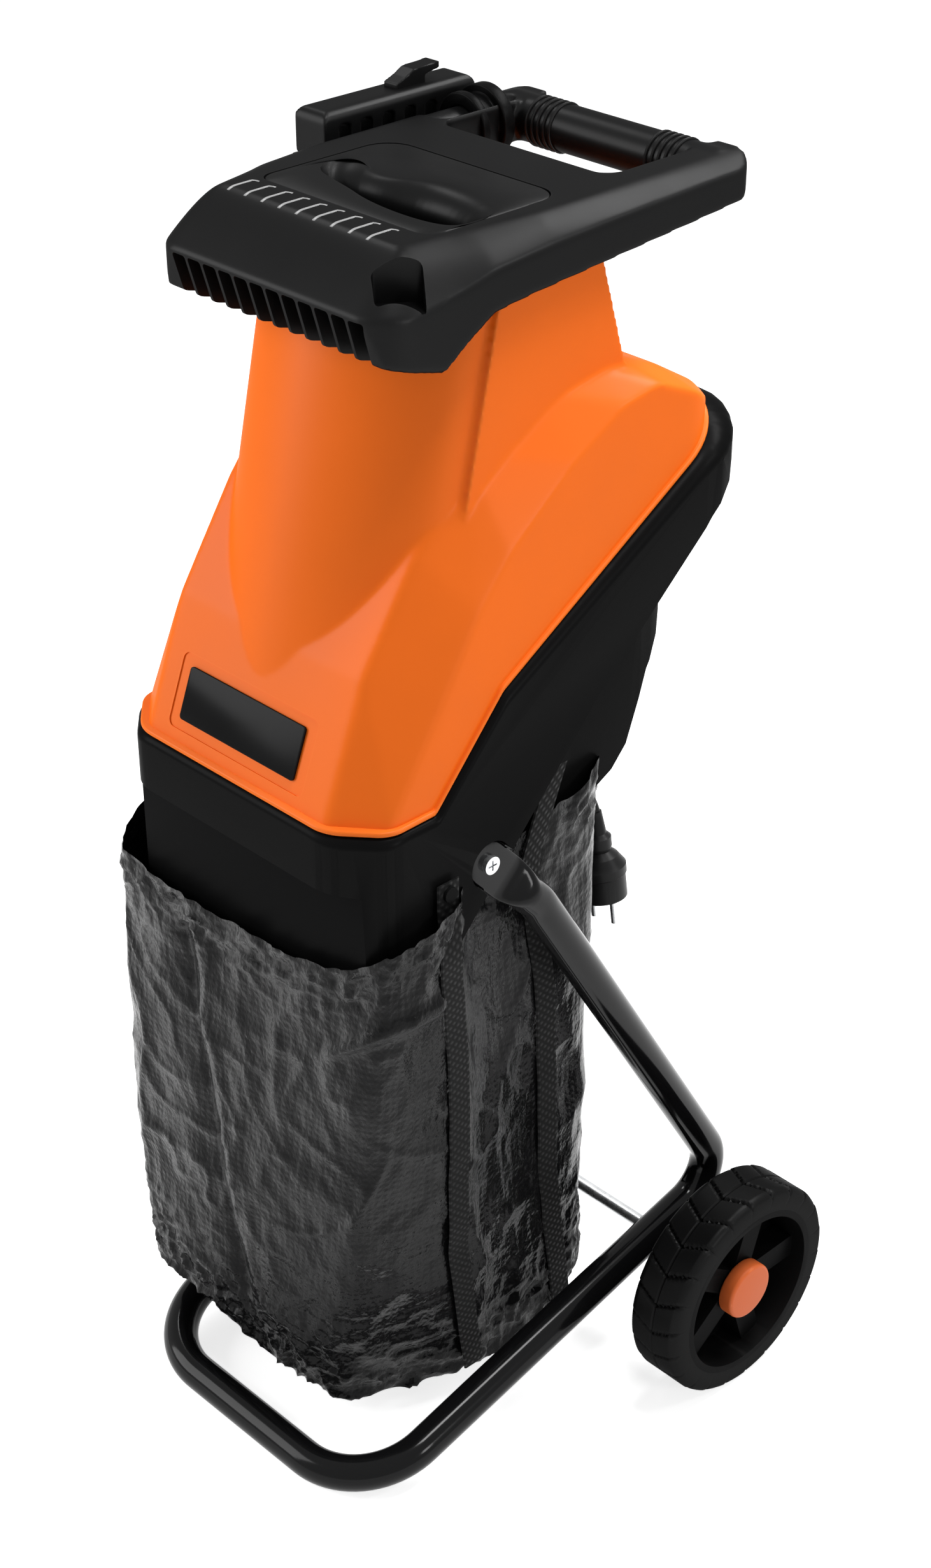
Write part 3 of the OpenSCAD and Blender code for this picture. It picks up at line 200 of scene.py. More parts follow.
def rounded(points, radii, steps=8):
    out = []
    n = len(points)
    for i, r in enumerate(radii):
        b = Vector(points[i])
        if r <= 0:
            out.append((b.x, b.y))
            continue
        u = (Vector(points[i - 1]) - b).normalized()
        v = (Vector(points[(i + 1) % n]) - b).normalized()
        half = math.acos(max(-1, min(1, u.dot(v)))) / 2
        mid = b + (u + v).normalized() * r / math.sin(half)
        s = b + u * r / math.tan(half) - mid
        e = b + v * r / math.tan(half) - mid
        t0 = math.atan2(s.y, s.x)
        d = math.atan2(e.y, e.x) - t0
        d = d - 2 * math.pi if d > math.pi else d + 2 * math.pi if d < -math.pi else d
        for k in range(steps + 1):
            t = t0 + d * k / steps
            out.append((mid.x + r * math.cos(t), mid.y + r * math.sin(t)))
    return out


# Finish, body, slot and the solids that a piece stands for
def finishPiece(obj, body, slot, *stands, look=None):
    obj.data.materials.clear()
    obj.data.materials.append(finish[look or slot])
    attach(obj, body)
    if stands:
        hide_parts(*stands)
    return obj


# A copy of a solid with its edges rounded, standing for the solid
def softCopy(name, node, width, steps=3):
    mesh = nodes[node].data.copy()
    obj = putIn(name, mesh)

    def clean(bm):
        bmesh.ops.remove_doubles(bm, verts=bm.verts, dist=1e-5)
        bmesh.ops.dissolve_limit(bm, angle_limit=math.radians(1.5), verts=bm.verts, edges=bm.edges)

    editMesh(mesh, clean)
    for layer in ("sharp_edge", "sharp_face", "custom_normal"):
        if layer in mesh.attributes:
            mesh.attributes.remove(mesh.attributes[layer])
    return roundEdges(obj, width, steps)


# Finishes
def newFinish(name):
    material = bpy.data.materials.new(name)
    material.use_nodes = True
    tree = material.node_tree
    shader = tree.nodes["Principled BSDF"]
    return material, tree, shader, addNode(tree, "TexCoord").outputs["Object"]


def addNode(tree, kind, *feeds, **values):
    node = tree.nodes.new("ShaderNode" + kind)
    for key, value in values.items():
        if hasattr(node, key):
            setattr(node, key, value)
        else:
            node.inputs[key.replace("_", " ")].default_value = value
    for i, source in enumerate(feeds):
        tree.links.new(source, node.inputs[i])
    return node


# Sockets are linked, numbers and colours are set
def wire(tree, node, **inputs):
    for key, value in inputs.items():
        socket = node.inputs[key.replace("_", " ")]
        if isinstance(value, bpy.types.NodeSocket):
            tree.links.new(value, socket)
        else:
            socket.default_value = value


def noiseAt(tree, place, scale, detail=4, rough=0.55):
    node = addNode(tree, "TexNoise", place, Scale=scale, Detail=detail, Roughness=rough)
    return node.outputs["Fac"]


def spread(tree, value, low, high, fromLow=0.3, fromHigh=0.7):
    node = addNode(tree, "MapRange", value)
    for i, v in enumerate((fromLow, fromHigh, low, high), 1):
        node.inputs[i].default_value = v
    return node.outputs[0]


def tones(tree, value, stops):
    node = addNode(tree, "ValToRGB", value)
    ramp = node.color_ramp
    while len(ramp.elements) < len(stops):
        ramp.elements.new(0.5)
    for element, (at, colour) in zip(ramp.elements, stops):
        element.position = at
        element.color = (*colour, 1)
    return node.outputs["Color"]


def mathNode(tree, how, a, b):
    return addNode(tree, "Math", a, b, operation=how).outputs[0]


def stretched(tree, place, scale):
    return addNode(tree, "Mapping", place, Scale=scale).outputs[0]


def ridges(tree, place, scale, wander, direction):
    node = addNode(tree, "TexWave", place, Scale=scale, Distortion=wander,
                   wave_type="BANDS", bands_direction=direction)
    return node.outputs["Fac"]


def bump(tree, shader, heights):
    last = None
    for height, strength, depth in heights:
        node = addNode(tree, "Bump", Strength=strength, Distance=depth)
        wire(tree, node, Height=height)
        if last is not None:
            wire(tree, node, Normal=last)
        last = node.outputs["Normal"]
    wire(tree, shader, Normal=last)


# Grained plastic mirrors hardly more at a slant than it does straight on
sheenIndex = 1.02


def evenSheen(shader, level):
    strength = level / ((sheenIndex - 1) / (sheenIndex + 1)) ** 2
    shader.inputs["IOR"].default_value = sheenIndex
    shader.inputs["Specular Tint"].default_value = (strength, strength, strength, 1)


# Moulded plastic: a spark-eroded grain, clouded gloss and slightly paler rubbed edges
def mouldedPlastic(name, colour, pale, gloss, grain, grainDepth, cloud, shine, sheen=None):
    material, tree, shader, place = newFinish(name)
    fine = noiseAt(tree, place, grain, 3, 0.6)
    broad = noiseAt(tree, place, 9, 3, 0.5)
    edge = addNode(tree, "NewGeometry").outputs["Pointiness"]
    rubbed = spread(tree, edge, 0, 1, 0.51, 0.58)
    dark = tuple(c * (1 - cloud) for c in colour)
    light = tuple(min(1, c * (1 + cloud)) for c in colour)
    mix = addNode(tree, "Mix", rubbed, data_type="RGBA")
    tree.links.new(tones(tree, broad, [(0.3, dark), (0.7, light)]), mix.inputs[6])
    mix.inputs[7].default_value = (*pale, 1)
    wire(tree, shader, Base_Color=mix.outputs[2], Roughness=spread(tree, broad, gloss - 0.05, gloss + 0.05))
    if sheen:
        evenSheen(shader, sheen)
    else:
        wire(tree, shader, Specular_IOR_Level=shine)
    bump(tree, shader, [(fine, 0.35, grainDepth * mm)])
    return material


# Name, colour, rubbed colour, gloss, grain and its depth, cloud, shine, or a sheen that holds at a slant
plastics = [
    ("orange_plastic", (0.86, 0.150, 0.010), (0.88, 0.18, 0.02), 0.36, 1500, 0.04, 0.03, None, 0.013),
    ("black_plastic", (0.003, 0.003, 0.0031), (0.007, 0.007, 0.007), 0.36, 1700, 0.05, 0.2, None, 0.003),
    ("lid_plastic", (0.003, 0.003, 0.0031), (0.008, 0.008, 0.008), 0.38, 1500, 0.06, 0.15, None, 0.012),
    ("wheel_plastic", (0.004, 0.004, 0.0041), (0.01, 0.01, 0.01), 0.38, 1300, 0.06, 0.15, None, 0.006),
    ("cap_plastic", (0.60, 0.115, 0.024), (0.68, 0.16, 0.05), 0.5, 1500, 0.14, 0.05, 0.2),
    ("plate_black", (0.003, 0.003, 0.0032), (0.012, 0.012, 0.012), 0.2, 900, 0.02, 0.2, None, 0.006),
    ("green_plastic", (0.012, 0.27, 0.042), (0.03, 0.35, 0.08), 0.35, 1500, 0.08, 0.05, 0.3),
    ("red_plastic", (0.55, 0.014, 0.014), (0.62, 0.04, 0.035), 0.35, 1500, 0.08, 0.05, 0.3),
    # painted highlight: pale grey standing for the light caught on the walls of the lid's slits
    ("slit_painted_highlight", (0.17, 0.17, 0.17), (0.28, 0.28, 0.28), 0.3, 1500, 0.05, 0.2, 0.4),
    ("painted_can", (0.055, 0.058, 0.062), (0.1, 0.1, 0.1), 0.35, 700, 0.05, 0.1, 0.5),
    ("cord_rubber", (0.005, 0.005, 0.0052), (0.014, 0.014, 0.014), 0.36, 1100, 0.08, 0.1, 0.12),
]
finish = {row[0]: mouldedPlastic(*row) for row in plastics}
finish["green_button"] = finish["green_plastic"]
finish["red_button"] = finish["red_plastic"]


# Gloss paint over bent tube: thin coat with a faint orange-peel
def tubePaintFinish():
    material, tree, shader, place = newFinish("tube_paint")
    broad = noiseAt(tree, place, 14, 3)
    wire(tree, shader, Base_Color=(0.004, 0.004, 0.0043, 1), Roughness=spread(tree, broad, 0.09, 0.14),
         Specular_IOR_Level=0.13)
    bump(tree, shader, [(noiseAt(tree, place, 420, 2), 0.12, 0.00006)])
    return material


finish["tube_paint"] = tubePaintFinish()


# Bare and plated metals: base tone, brushed or cast surface
def metalFinish(name, colour, gloss, stretch, scale, depth):
    material, tree, shader, place = newFinish(name)
    marks = noiseAt(tree, stretched(tree, place, stretch), scale, 5, 0.65)
    broad = noiseAt(tree, place, 25, 3)
    dull = tuple(c * 0.86 for c in colour)
    wire(tree, shader, Base_Color=tones(tree, broad, [(0.3, dull), (0.7, colour)]), Metallic=1,
         Roughness=spread(tree, marks, gloss - 0.08, gloss + 0.1))
    bump(tree, shader, [(marks, 0.2, depth * mm)])
    return material


# Name, colour, gloss, stretch of the marks, their scale and depth
metals = [
    ("zinc_steel", (0.68, 0.69, 0.7), 0.3, (1, 1, 1), 300, 0.05),
    ("bright_steel", (0.62, 0.63, 0.64), 0.26, (30, 30, 1), 60, 0.03),
    ("cast_alloy", (0.5, 0.51, 0.52), 0.48, (1, 1, 1), 420, 0.12),
    ("winding_copper", (0.62, 0.27, 0.12), 0.34, (1, 1, 6), 500, 0.2),
    ("insert_brass", (0.62, 0.43, 0.16), 0.32, (1, 1, 1), 300, 0.05),
]
finish.update({row[0]: metalFinish(*row) for row in metals})


# Woven bag sheet: flat tapes over and under, laminated gloss, crumpled facets
def bagWeaveFinish():
    material, tree, shader, place = newFinish("bag_weave")
    uv = addNode(tree, "UVMap").outputs["UV"]
    weave = mathNode(tree, "MULTIPLY", *(ridges(tree, uv, 60, 0.6, way) for way in "XY"))
    squeezed = stretched(tree, place, (1, 1, 0.55))
    facets, small = (
        addNode(tree, "TexVoronoi", squeezed, feature="SMOOTH_F1", Scale=scale, Smoothness=smooth)
        for scale, smooth in ((26, 0.25), (75, 0.3)))
    crinkle = noiseAt(tree, squeezed, 34, 6, 0.62)
    broad = noiseAt(tree, place, 7, 3)
    blacks = [(0.3, (0.0035, 0.0035, 0.0037)), (0.7, (0.008, 0.008, 0.0083))]
    wire(tree, shader, Base_Color=tones(tree, broad, blacks), Roughness=spread(tree, crinkle, 0.11, 0.26),
         Specular_IOR_Level=0.085)
    bump(tree, shader, [
        (facets.outputs["Distance"], 0.7, 0.007), (small.outputs["Distance"], 0.5, 0.0025),
        (crinkle, 0.7, 0.0045), (weave, 0.3, 0.0005)])
    return material


finish["bag_weave"] = bagWeaveFinish()


# Webbing: slanted twill ridges across the strap
def webbingFinish():
    material, tree, shader, _ = newFinish("webbing")
    uv = addNode(tree, "UVMap").outputs["UV"]
    mirrored = stretched(tree, uv, (-1, 1, 1))
    twill = mathNode(tree, "MULTIPLY", *(ridges(tree, at, 95, 0.2, "DIAGONAL") for at in (uv, mirrored)))
    blacks = [(0.1, (0.003, 0.003, 0.003)), (0.8, (0.012, 0.012, 0.012))]
    wire(tree, shader, Base_Color=tones(tree, twill, blacks), Specular_IOR_Level=0.12,
         Roughness=spread(tree, twill, 0.75, 0.5, 0, 1))
    bump(tree, shader, [(twill, 0.8, 0.0007)])
    return material


finish["webbing"] = webbingFinish()
print("finishes made")


# Every solid that stays in view takes its finish here
def dressSolids():
    for entry in frame["record"]["subparts"]:
        mesh = nodes[entry["node"]].data
        mesh.materials.clear()
        mesh.materials.append(finish[entry["material_slot"]])


dressSolids()
print("solids dressed")

# Mains lead: leaves the gland, hangs a hand's breadth and ends in the plug
lead = dict(width=8, route=[
    (22, 98, 448), (25, 103.5, 436), (28, 109, 424), (31, 114, 412), (34, 118, 402), (36, 119, 396)])


def smoothPath(route, steps):
    pts = [Vector(p) * mm for p in route]
    out = []
    for i in range(len(pts) - 1):
        a, b, c, d = pts[max(0, i - 1)], pts[i], pts[i + 1], pts[min(len(pts) - 1, i + 2)]
        for k in range(steps):
            t = k / steps
            even = 2 * b + (c - a) * t + (2 * a - 5 * b + 4 * c - d) * t * t
            out.append(0.5 * (even + (3 * b - a - 3 * c + d) * t ** 3))
    return out + [pts[-1]]


def makeLead():
    points = smoothPath(lead["route"], 4)
    length = sum((b - a).length for a, b in zip(points, points[1:]))
    data = bpy.data.curves.new("lead", "CURVE")
    data.dimensions = "3D"
    data.bevel_depth = lead["width"] * mm / 2
    data.bevel_resolution = 6
    spline = data.splines.new("POLY")
    spline.points.add(len(points) - 1)
    for point, p in zip(spline.points, points):
        point.co = (*p, 1)
    obj = putIn("lead", data)
    data.materials.append(finish["cord_rubber"])
    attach(obj, "base")
    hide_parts("mains_lead")
    tuple(points[0])


makeLead()
print("lead hung")


def centredBox(a, b):
    return box(-a, -b, a, b)


# Orange hood and leaning chute, moulded as one skin
plate = dict(half=(53, 17), recess=(62, 24), corner=2.5, recessCorner=5, low=-0.8, high=0.9, up=35, x=-4)
hood = dict(
    mid=[(-163, -130), (158, -40), (158, 80), (145, 93), (113, 112), (72, 130), (40, 135), (0, 128),
         (-46, 101), (-88, 51), (-130, -13), (-163, -100)],
    side=[(-138, -130), (140, -40), (140, 80), (120, 99), (92, 112), (60, 108), (17, 87), (-40, 45),
          (-65, 17), (-96, -45), (-138, -100)],
    midHalf=82, sideHalf=112.5, wall=3, seamGap=0.4, lip=3,
    roundGrain=2.4, roundSteps=9, skinGrain=1.7, skinSteps=4,
    planRear=158, planRound=44, planHalf=112, chuteRadius=86, chuteDepth=55, chuteFull=1.8,
    blockHalf=92, lean=12.4, leanY=-76, rear=(112, -0.303), top=224, foot=-60)
seamLine = [(-600, -100), (-104, -100)] + [(y, (y - cutY) * math.tan(cutTilt)) for y in (-48, 600)]
basePlan = dict(half=118, front=-168, rear=182, slant=26, cornerIn=30, radii=[20, 30, 30, 20, 58, 58])


def planCorners(inset, rearHalf, rear):
    h, f, r = basePlan["half"] - inset, basePlan["front"] + inset, rear - inset
    slant, across, b = basePlan["slant"], h - basePlan["cornerIn"], rearHalf - inset
    return [(-h, f + slant), (-across, f), (across, f), (h, f + slant), (b, r), (-b, r)]


def planOutline():
    return rounded(planCorners(0, basePlan["half"], basePlan["rear"]), basePlan["radii"])


def hoodOutline(inset):
    corners = planCorners(inset, hood["planHalf"], hood["planRear"])
    return rounded(corners, basePlan["radii"][:4] + [hood["planRound"] - inset] * 2, 12)


def belowSeam(lift):
    low = [(y, w + lift) for y, w in seamLine]
    return prism("below", low + [(600, -600), (-600, -600)], -300, 300, "yw")


def chuteForm():
    h = hood
    bulge = 2 / h["chuteFull"]
    rings = []
    for w in np.linspace(h["foot"], h["top"], 46):
        axis = h["leanY"] + w * math.tan(math.radians(h["lean"]))
        front = axis + 3
        rear = h["rear"][0] + w * h["rear"][1]
        ring = [(h["blockHalf"], rear), (h["blockHalf"], front), (h["chuteRadius"], front)]
        for k in range(41):
            t = -math.pi * k / 40
            c, d = math.cos(t), abs(math.sin(t))
            x = h["chuteRadius"] * math.copysign(abs(c) ** bulge, c)
            ring.append((x, axis - h["chuteDepth"] * d ** bulge))
        ring += [(-h["chuteRadius"], front), (-h["blockHalf"], front), (-h["blockHalf"], rear)]
        rings.append([headPoint(x, y, w) for x, y in ring])
    n = len(rings[0])
    verts = [v for ring in rings for v in ring]
    faces = [list(range(n)), [len(verts) - n + k for k in range(n)]] + bandFaces(len(rings), n)
    return outward(addMesh("chuteForm", verts, faces))


def hullForm(name, points):
    obj = addMesh(name, [headPoint(*p) for p in points], [])

    def wrap(bm):
        bmesh.ops.convex_hull(bm, input=bm.verts)
        bmesh.ops.delete(bm, geom=[v for v in bm.verts if not v.link_faces], context="VERTS")

    editMesh(obj.data, wrap)
    return outward(obj)


def removeFaces(obj, test):
    def work(bm):
        level = Vector((0, 0, cutHeight))
        gone = [f for f in bm.faces if test(f.calc_center_median() / mm - level, f.normal)]
        bmesh.ops.delete(bm, geom=gone, context="FACES")

    editMesh(obj.data, work)


def valueAt(pairs, at):
    return float(np.interp(at, *zip(*pairs)))


def seamHeight(y):
    return valueAt(seamLine, y)


# Moves what is drawn at the head's middle onto the hood's sloping front
def onFront(obj):
    (y1, w1), (y0, w0) = hood["mid"][-2:]
    a = math.atan2(w1 - w0, y1 - y0)
    spot = headPoint(plate["x"], y0 + plate["up"] * math.cos(a), w0 + plate["up"] * math.sin(a))
    obj.data.transform(Matrix.Translation(-Vector(headPoint(0, 0, 0))))
    obj.data.transform(Matrix.Translation(Vector(spot)) @ Matrix.Rotation(a, 4, "X"))
    return obj


def runLength(points):
    return np.concatenate([[0], np.cumsum(np.linalg.norm(np.diff(points, axis=0), axis=1))])


def denseOutline(outline, step):
    out = []
    for a, b in zip(outline, outline[1:] + outline[:1]):
        a, b = Vector(a), Vector(b)
        n = max(1, round((b - a).length / step))
        out += [a.lerp(b, k / n) for k in range(n)]
    return out


# A rounded band that follows the seam round an outline
def seamBand(name, outline, lift, height, width):
    pts = denseOutline(outline, 2)
    n = len(pts)
    profile = [(width, 0), (0.3, 0), (0, 0.3), (0, height - 1.2), (0.35, height - 0.35), (1.2, height)]
    profile.append((width, height))
    verts = []
    for i, p in enumerate(pts):
        along = (pts[(i + 1) % n] - pts[i - 1]).normalized()
        inward = Vector((-along.y, along.x))
        for d, up in profile:
            q = p + inward * d
            verts.append(headPoint(q.x, q.y, seamHeight(p.y) + lift + up))
    return shade(outward(addMesh(name, verts, bandFaces(n, len(profile), True))), 50)


def makeHood():
    h = hood
    points = [(s * h["midHalf"], y, w) for s in (-1, 1) for y, w in h["mid"]]
    points += [(s * h["sideHalf"], y, w) for s in (-1, 1) for y, w in h["side"]]
    points += [(x, y, seamHeight(y) - 8) for x, y in hoodOutline(5)]
    skin = hullForm("hood", points)
    soften(skin, h["roundGrain"], h["roundSteps"])
    share(skin, prism("plan", hoodOutline(4.5), -300, 300, "xy"))
    add(skin, chuteForm())
    soften(skin, h["skinGrain"], h["skinSteps"])
    recess = rounded(centredBox(*plate["recess"]), [plate["recessCorner"]] * 4)
    cut(skin, onFront(prism("recess", recess, plate["low"], 8, "xy")))
    cut(skin, belowSeam(h["seamGap"]))
    removeFaces(skin, lambda c, n: n.z < -0.5 and c.z < seamHeight(c.y) + h["seamGap"] + 0.2)
    removeFaces(skin, lambda c, n: n.z > 0.9 and c.z > h["top"] - 1.2)
    wall = skin.modifiers.new("wall", "SOLIDIFY")
    wall.thickness = h["wall"] * mm
    wall.offset = -1
    bake(skin)
    shade(skin, 50)
    finishPiece(skin, "hopper", "orange_plastic", "upper_housing")
    lip = seamBand("hood_lip", hoodOutline(2), h["seamGap"], h["lip"], 9)
    finishPiece(lip, "hopper", "orange_plastic")


# Rounded black shoulder between the hood's edge and the lower housing's wall
shoulder = dict(least=4, most=26, fall=1.15, below=0.3, wall=2.8, tuckIn=6, tuckDeep=2.6)


def shoulderLine():
    inner = np.array([tuple(q) for q in denseOutline(hoodOutline(5), 1)])
    rows = []
    for p in denseOutline(planOutline(), 3):
        q = inner[np.argmin(np.hypot(inner[:, 0] - p.x, inner[:, 1] - p.y))]
        gap = math.hypot(q[0] - p.x, q[1] - p.y)
        deep = min(shoulder["most"], max(shoulder["least"], shoulder["fall"] * gap))
        rows.append((p.x, p.y, seamHeight(p.y) - deep, q[0], q[1], seamHeight(q[1]) - shoulder["below"]))
    return rows


def ringMesh(name, rings):
    n, m = len(rings), len(rings[0])
    verts = [headPoint(*v) for ring in rings for v in ring]
    faces = []
    for i in range(n):
        a, b = i * m, (i + 1) % n * m
        faces += [[a + k, b + k, b + (k + 1) % m, a + (k + 1) % m] for k in range(m)]
    return outward(addMesh(name, verts, faces))


def makeShoulder():
    wall, tuckIn, tuckDeep = (shoulder[k] for k in ("wall", "tuckIn", "tuckDeep"))
    rings, gaps = [], []
    arc = [math.pi / 2 * k / 12 for k in range(13)]
    for x, y, w, qx, qy, qw in shoulderLine():
        top = []
        for a in arc:
            out = math.sin(a)
            top.append((qx + (x - qx) * out, qy + (y - qy) * out, w + (qw - w) * math.cos(a)))
        far = math.hypot(x - qx, y - qy)
        ux, uy = (x - qx) / far, (y - qy) / far
        ix, iy = qx - tuckIn * ux, qy - tuckIn * uy
        rings.append(top + [(x - wall * ux, y - wall * uy, w), (ix, iy, qw - tuckDeep), (ix, iy, qw)])
        deep = max(6, 0.6 * far)
        near, back = (x + 4 * ux, y + 4 * uy), (x - deep * ux, y - deep * uy)
        gaps.append([(*near, w), (*near, w + 70), (*back, w + 70), (*back, w)])
    finishPiece(shade(ringMesh("rim_shoulder", rings), 50), "base", "black_plastic")
    return ringMesh("wallTop", gaps)


makeHood()
wallTop = makeShoulder()
print("hood moulded")


# Bare plate in its pressed recess
def makePlate():
    outline = rounded(centredBox(*plate["half"]), [plate["corner"]] * 4)
    obj = onFront(prism("plate", outline, plate["low"], plate["high"], "xy"))
    roundEdges(obj, 0.5, 3, 40)
    finishPiece(obj, "hopper", "plate_black", "name_plate")


makePlate()
print("plate set")


def smoothLoop(points, rounds=3):
    pts = [np.array(p, float) for p in points]
    for _ in range(rounds):
        fresh = []
        for a, b in zip(pts, pts[1:] + pts[:1]):
            fresh += [a * 0.75 + b * 0.25, a * 0.25 + b * 0.75]
        pts = fresh
    return np.array(pts)


# Lid: one soft moulding with a nose grille, slits and a handle loop
lid = dict(
    height=234, half=105, wall=3.5, front=-129, rear=172, noseLeft=93, noseRight=102, noseY=-50,
    radii=[20, 20, 60, 28, 27, 60],
    low=[(-121, -57), (-84, -67), (-66, -54), (-46, -42), (-17, -39), (108, -30), (172, -25)],
    edge=[(-129, 30), (-94, 28), (-70, 23.5), (-47, 17.5), (3, 13.5), (70, 10), (139, 7), (172, 7)],
    slope=[(-129, 31), (-60, 27), (0, 18), (172, 18)],
    bend=1.7, noseStart=-91, noseDrop=30, noseBend=1.2, grain=1.7, rounds=8,
    loopHalf=70, loopY=77, gripWidth=30, gripY=157, gripW=220, armX=-87.5, armRadius=13.5,
    gripIn=18, armY=(80, 160), trough=(-103, 82, -73, 150), troughDeep=13, seatDeep=2.6,
    noseWall=-98, vanes=12, vaneHalf=1.1, vaneTop=32, grilleHalf=81, grilleX=6,
    pocket=(88, -103), pocketSize=(28, 20), pocketTurn=54, pocketFloor=205)


def lidPlan(inset):
    d = lid
    h, f, r = d["half"] - inset, d["front"] + inset, d["rear"] - inset
    nose = [(-h, d["noseY"]), (inset - d["noseLeft"], f), (d["noseRight"] - inset, f), (h, d["noseY"])]
    return rounded([(h, r), (-h, r)] + nose, d["radii"])


# Crowned top: the sides fall off along the lid, the nose in one long slope
def lidTop(x, y):
    d = lid
    tip = d["noseLeft"] if x < 0 else d["noseRight"]
    half = valueAt([(d["front"], tip), (d["noseY"], d["half"])], y)
    slope = valueAt(d["slope"], y)
    u = max(0, (abs(x) - half + slope) / slope)
    v = max(0, (d["noseStart"] - y) / (d["noseStart"] - d["front"]))
    fall = valueAt(d["edge"], y) * u ** d["bend"]
    return d["height"] - math.hypot(fall, d["noseDrop"] * v ** d["noseBend"])


def crownBlock(name, drop):
    xs, ys = np.arange(-111, 112, 3), np.arange(-138, 184, 3)
    n, m = len(xs), len(ys)
    verts = [headPoint(x, y, max(lidTop(x, y), 150) - drop) for y in ys for x in xs]
    verts += [headPoint(x, y, 60) for y in ys for x in xs]
    faces = []
    for b in range(m - 1):
        for a in range(n - 1):
            k = b * n + a
            q = m * n + k
            faces += [[k, k + 1, k + n + 1, k + n], [q, q + n, q + n + 1, q + 1]]
    border = list(range(n)) + [b * n + n - 1 for b in range(1, m)]
    border += [(m - 1) * n + a for a in range(n - 2, -1, -1)] + [b * n for b in range(m - 2, 0, -1)]
    for a, b in zip(border, border[1:] + border[:1]):
        faces.append([b, a, m * n + a, m * n + b])
    return outward(addMesh(name, verts, faces))


def lidForm(name, inset, drop=0):
    d = lid
    low = [(y, w + d["height"]) for y, w in d["low"]]
    tip, tipTop = d["front"], d["front"] - 6
    if inset:
        low = [(y + (inset if y < -100 else 0), w - drop) for y, w in low]
        tip = tipTop = d["front"] + inset
    outline = low + [(180, low[-1][1]), (180, 300), (tipTop, 300), (tip, d["height"] - 30)]
    obj = prism(name, outline, -200, 200, "yw")
    share(obj, prism("plan", lidPlan(inset), -100, 400, "xy"))
    share(obj, crownBlock("crown", inset + (0.5 if inset else 0)))
    return obj


panel = dict(
    x=(-66, 76), y=(-69.5, 33), radii=[10, 14, 16, 20], rollDeep=19, depth=28,
    mouth=[(-57, -30), (-49, -37), (-35, -41), (-15, -45.5), (4, -51.5), (25, -54.5), (45, -55), (62, -53),
           (73, -48), (76, -36), (74, -20), (66, -9), (50, -2), (32, 1), (15, 0), (3, -5), (-8, -13),
           (-22, -16), (-34, -13), (-44, -8), (-53, -9), (-58, -18)],
    throat=[(-50, -33), (-32, -37), (0, -43), (30, -45), (58, -43), (65, -36), (64, -26), (44, -18),
            (16, -17), (-2, -23), (-16, -28), (-34, -29), (-47, -27)])


def panelOutline(grow):
    (x0, x1), (y0, y1) = panel["x"], panel["y"]
    return rounded(box(x0 - grow, y0 - grow, x1 + grow, y1 + grow), panel["radii"])


def makeLid():
    d = lid
    top = d["height"]
    obj = lidForm("lid", 0)
    loop = rounded(box(-d["loopHalf"], d["loopY"], d["loopHalf"], 300), [12, 12, 0, 0])
    cut(obj, prism("loop", loop, 0, 400, "xy"))
    grip = [(x, d["gripY"], d["gripW"]) for x in (d["gripIn"] - d["half"], d["half"] - d["gripIn"])]
    add(obj, rod("grip", *grip, d["gripWidth"] / 2))
    trough = rounded(box(*d["trough"]), [8] * 4)
    cut(obj, prism("trough", trough, top - d["troughDeep"], 400, "xy"))
    add(obj, rod("neck", *[(d["armX"], y, d["gripW"] - 1) for y in d["armY"]], d["armRadius"]))
    soften(obj, d["grain"], d["rounds"])
    hollow = lidForm("hollow", d["wall"], 40)
    for low, high in (  # rear, nose, pocket and top stay solid
        ((-200, 62, 0), (200, 300, 400)), ((-200, -300, 0), (200, d["noseWall"], 400)),
        ((60, -300, 0), (200, -76, 400)), ((-200, -300, top - d["wall"] - 1), (200, 300, 400)),
    ):
        cut(hollow, block("keep", low, high))
    cut(obj, hollow)
    cut(obj, prism("panelSeat", panelOutline(0.6), top - d["seatDeep"], 300, "xy"))
    cut(obj, block("slotGap", (-62, -58, top - 20), (77, 6, 300)))
    pitch = 2 * d["grilleHalf"] / d["vanes"]
    for i in range(d["vanes"]):
        x = d["grilleX"] + (i - d["vanes"] / 2) * pitch
        hole = box(x + d["vaneHalf"], 100, x + pitch - d["vaneHalf"], top - d["vaneTop"])
        hole = rounded(hole, [0, 0, 2, 2], 3)
        cut(obj, prism("vaneGap", hole, d["front"] - 20, d["noseWall"] - 4, "xw"))
    turn = Matrix.Rotation(math.radians(d["pocketTurn"]), 2)
    notch = rounded(centredBox(*(s / 2 for s in d["pocketSize"])), [3] * 4, 4)
    notch = [tuple(turn @ Vector(q) + Vector(d["pocket"])) for q in notch]
    cut(obj, prism("pocket", notch, d["pocketFloor"], 300, "xy"))
    shade(obj, 38)
    finishPiece(obj, "hopper", "black_plastic", "hopper_lid", look="lid_plastic")
    return obj


lidSkin = makeLid()
print("lid moulded")

# Slits in the lid's nose: pale grey strips a hair above the skin, a painted highlight standing for the
# light caught on the slits' walls, each with a short hook at its rear end
slit = dict(count=9, pitch=14.6, x=-5, y=-94, length=18, half=1.15, proud=0.15, deep=0.9, hook=4.5)


def skinTop(obj, x, y):
    spot = obj.ray_cast(Vector(headPoint(x, y, 400)), Vector((0, 0, -1)))[1]
    return spot.z / mm - cutHeight


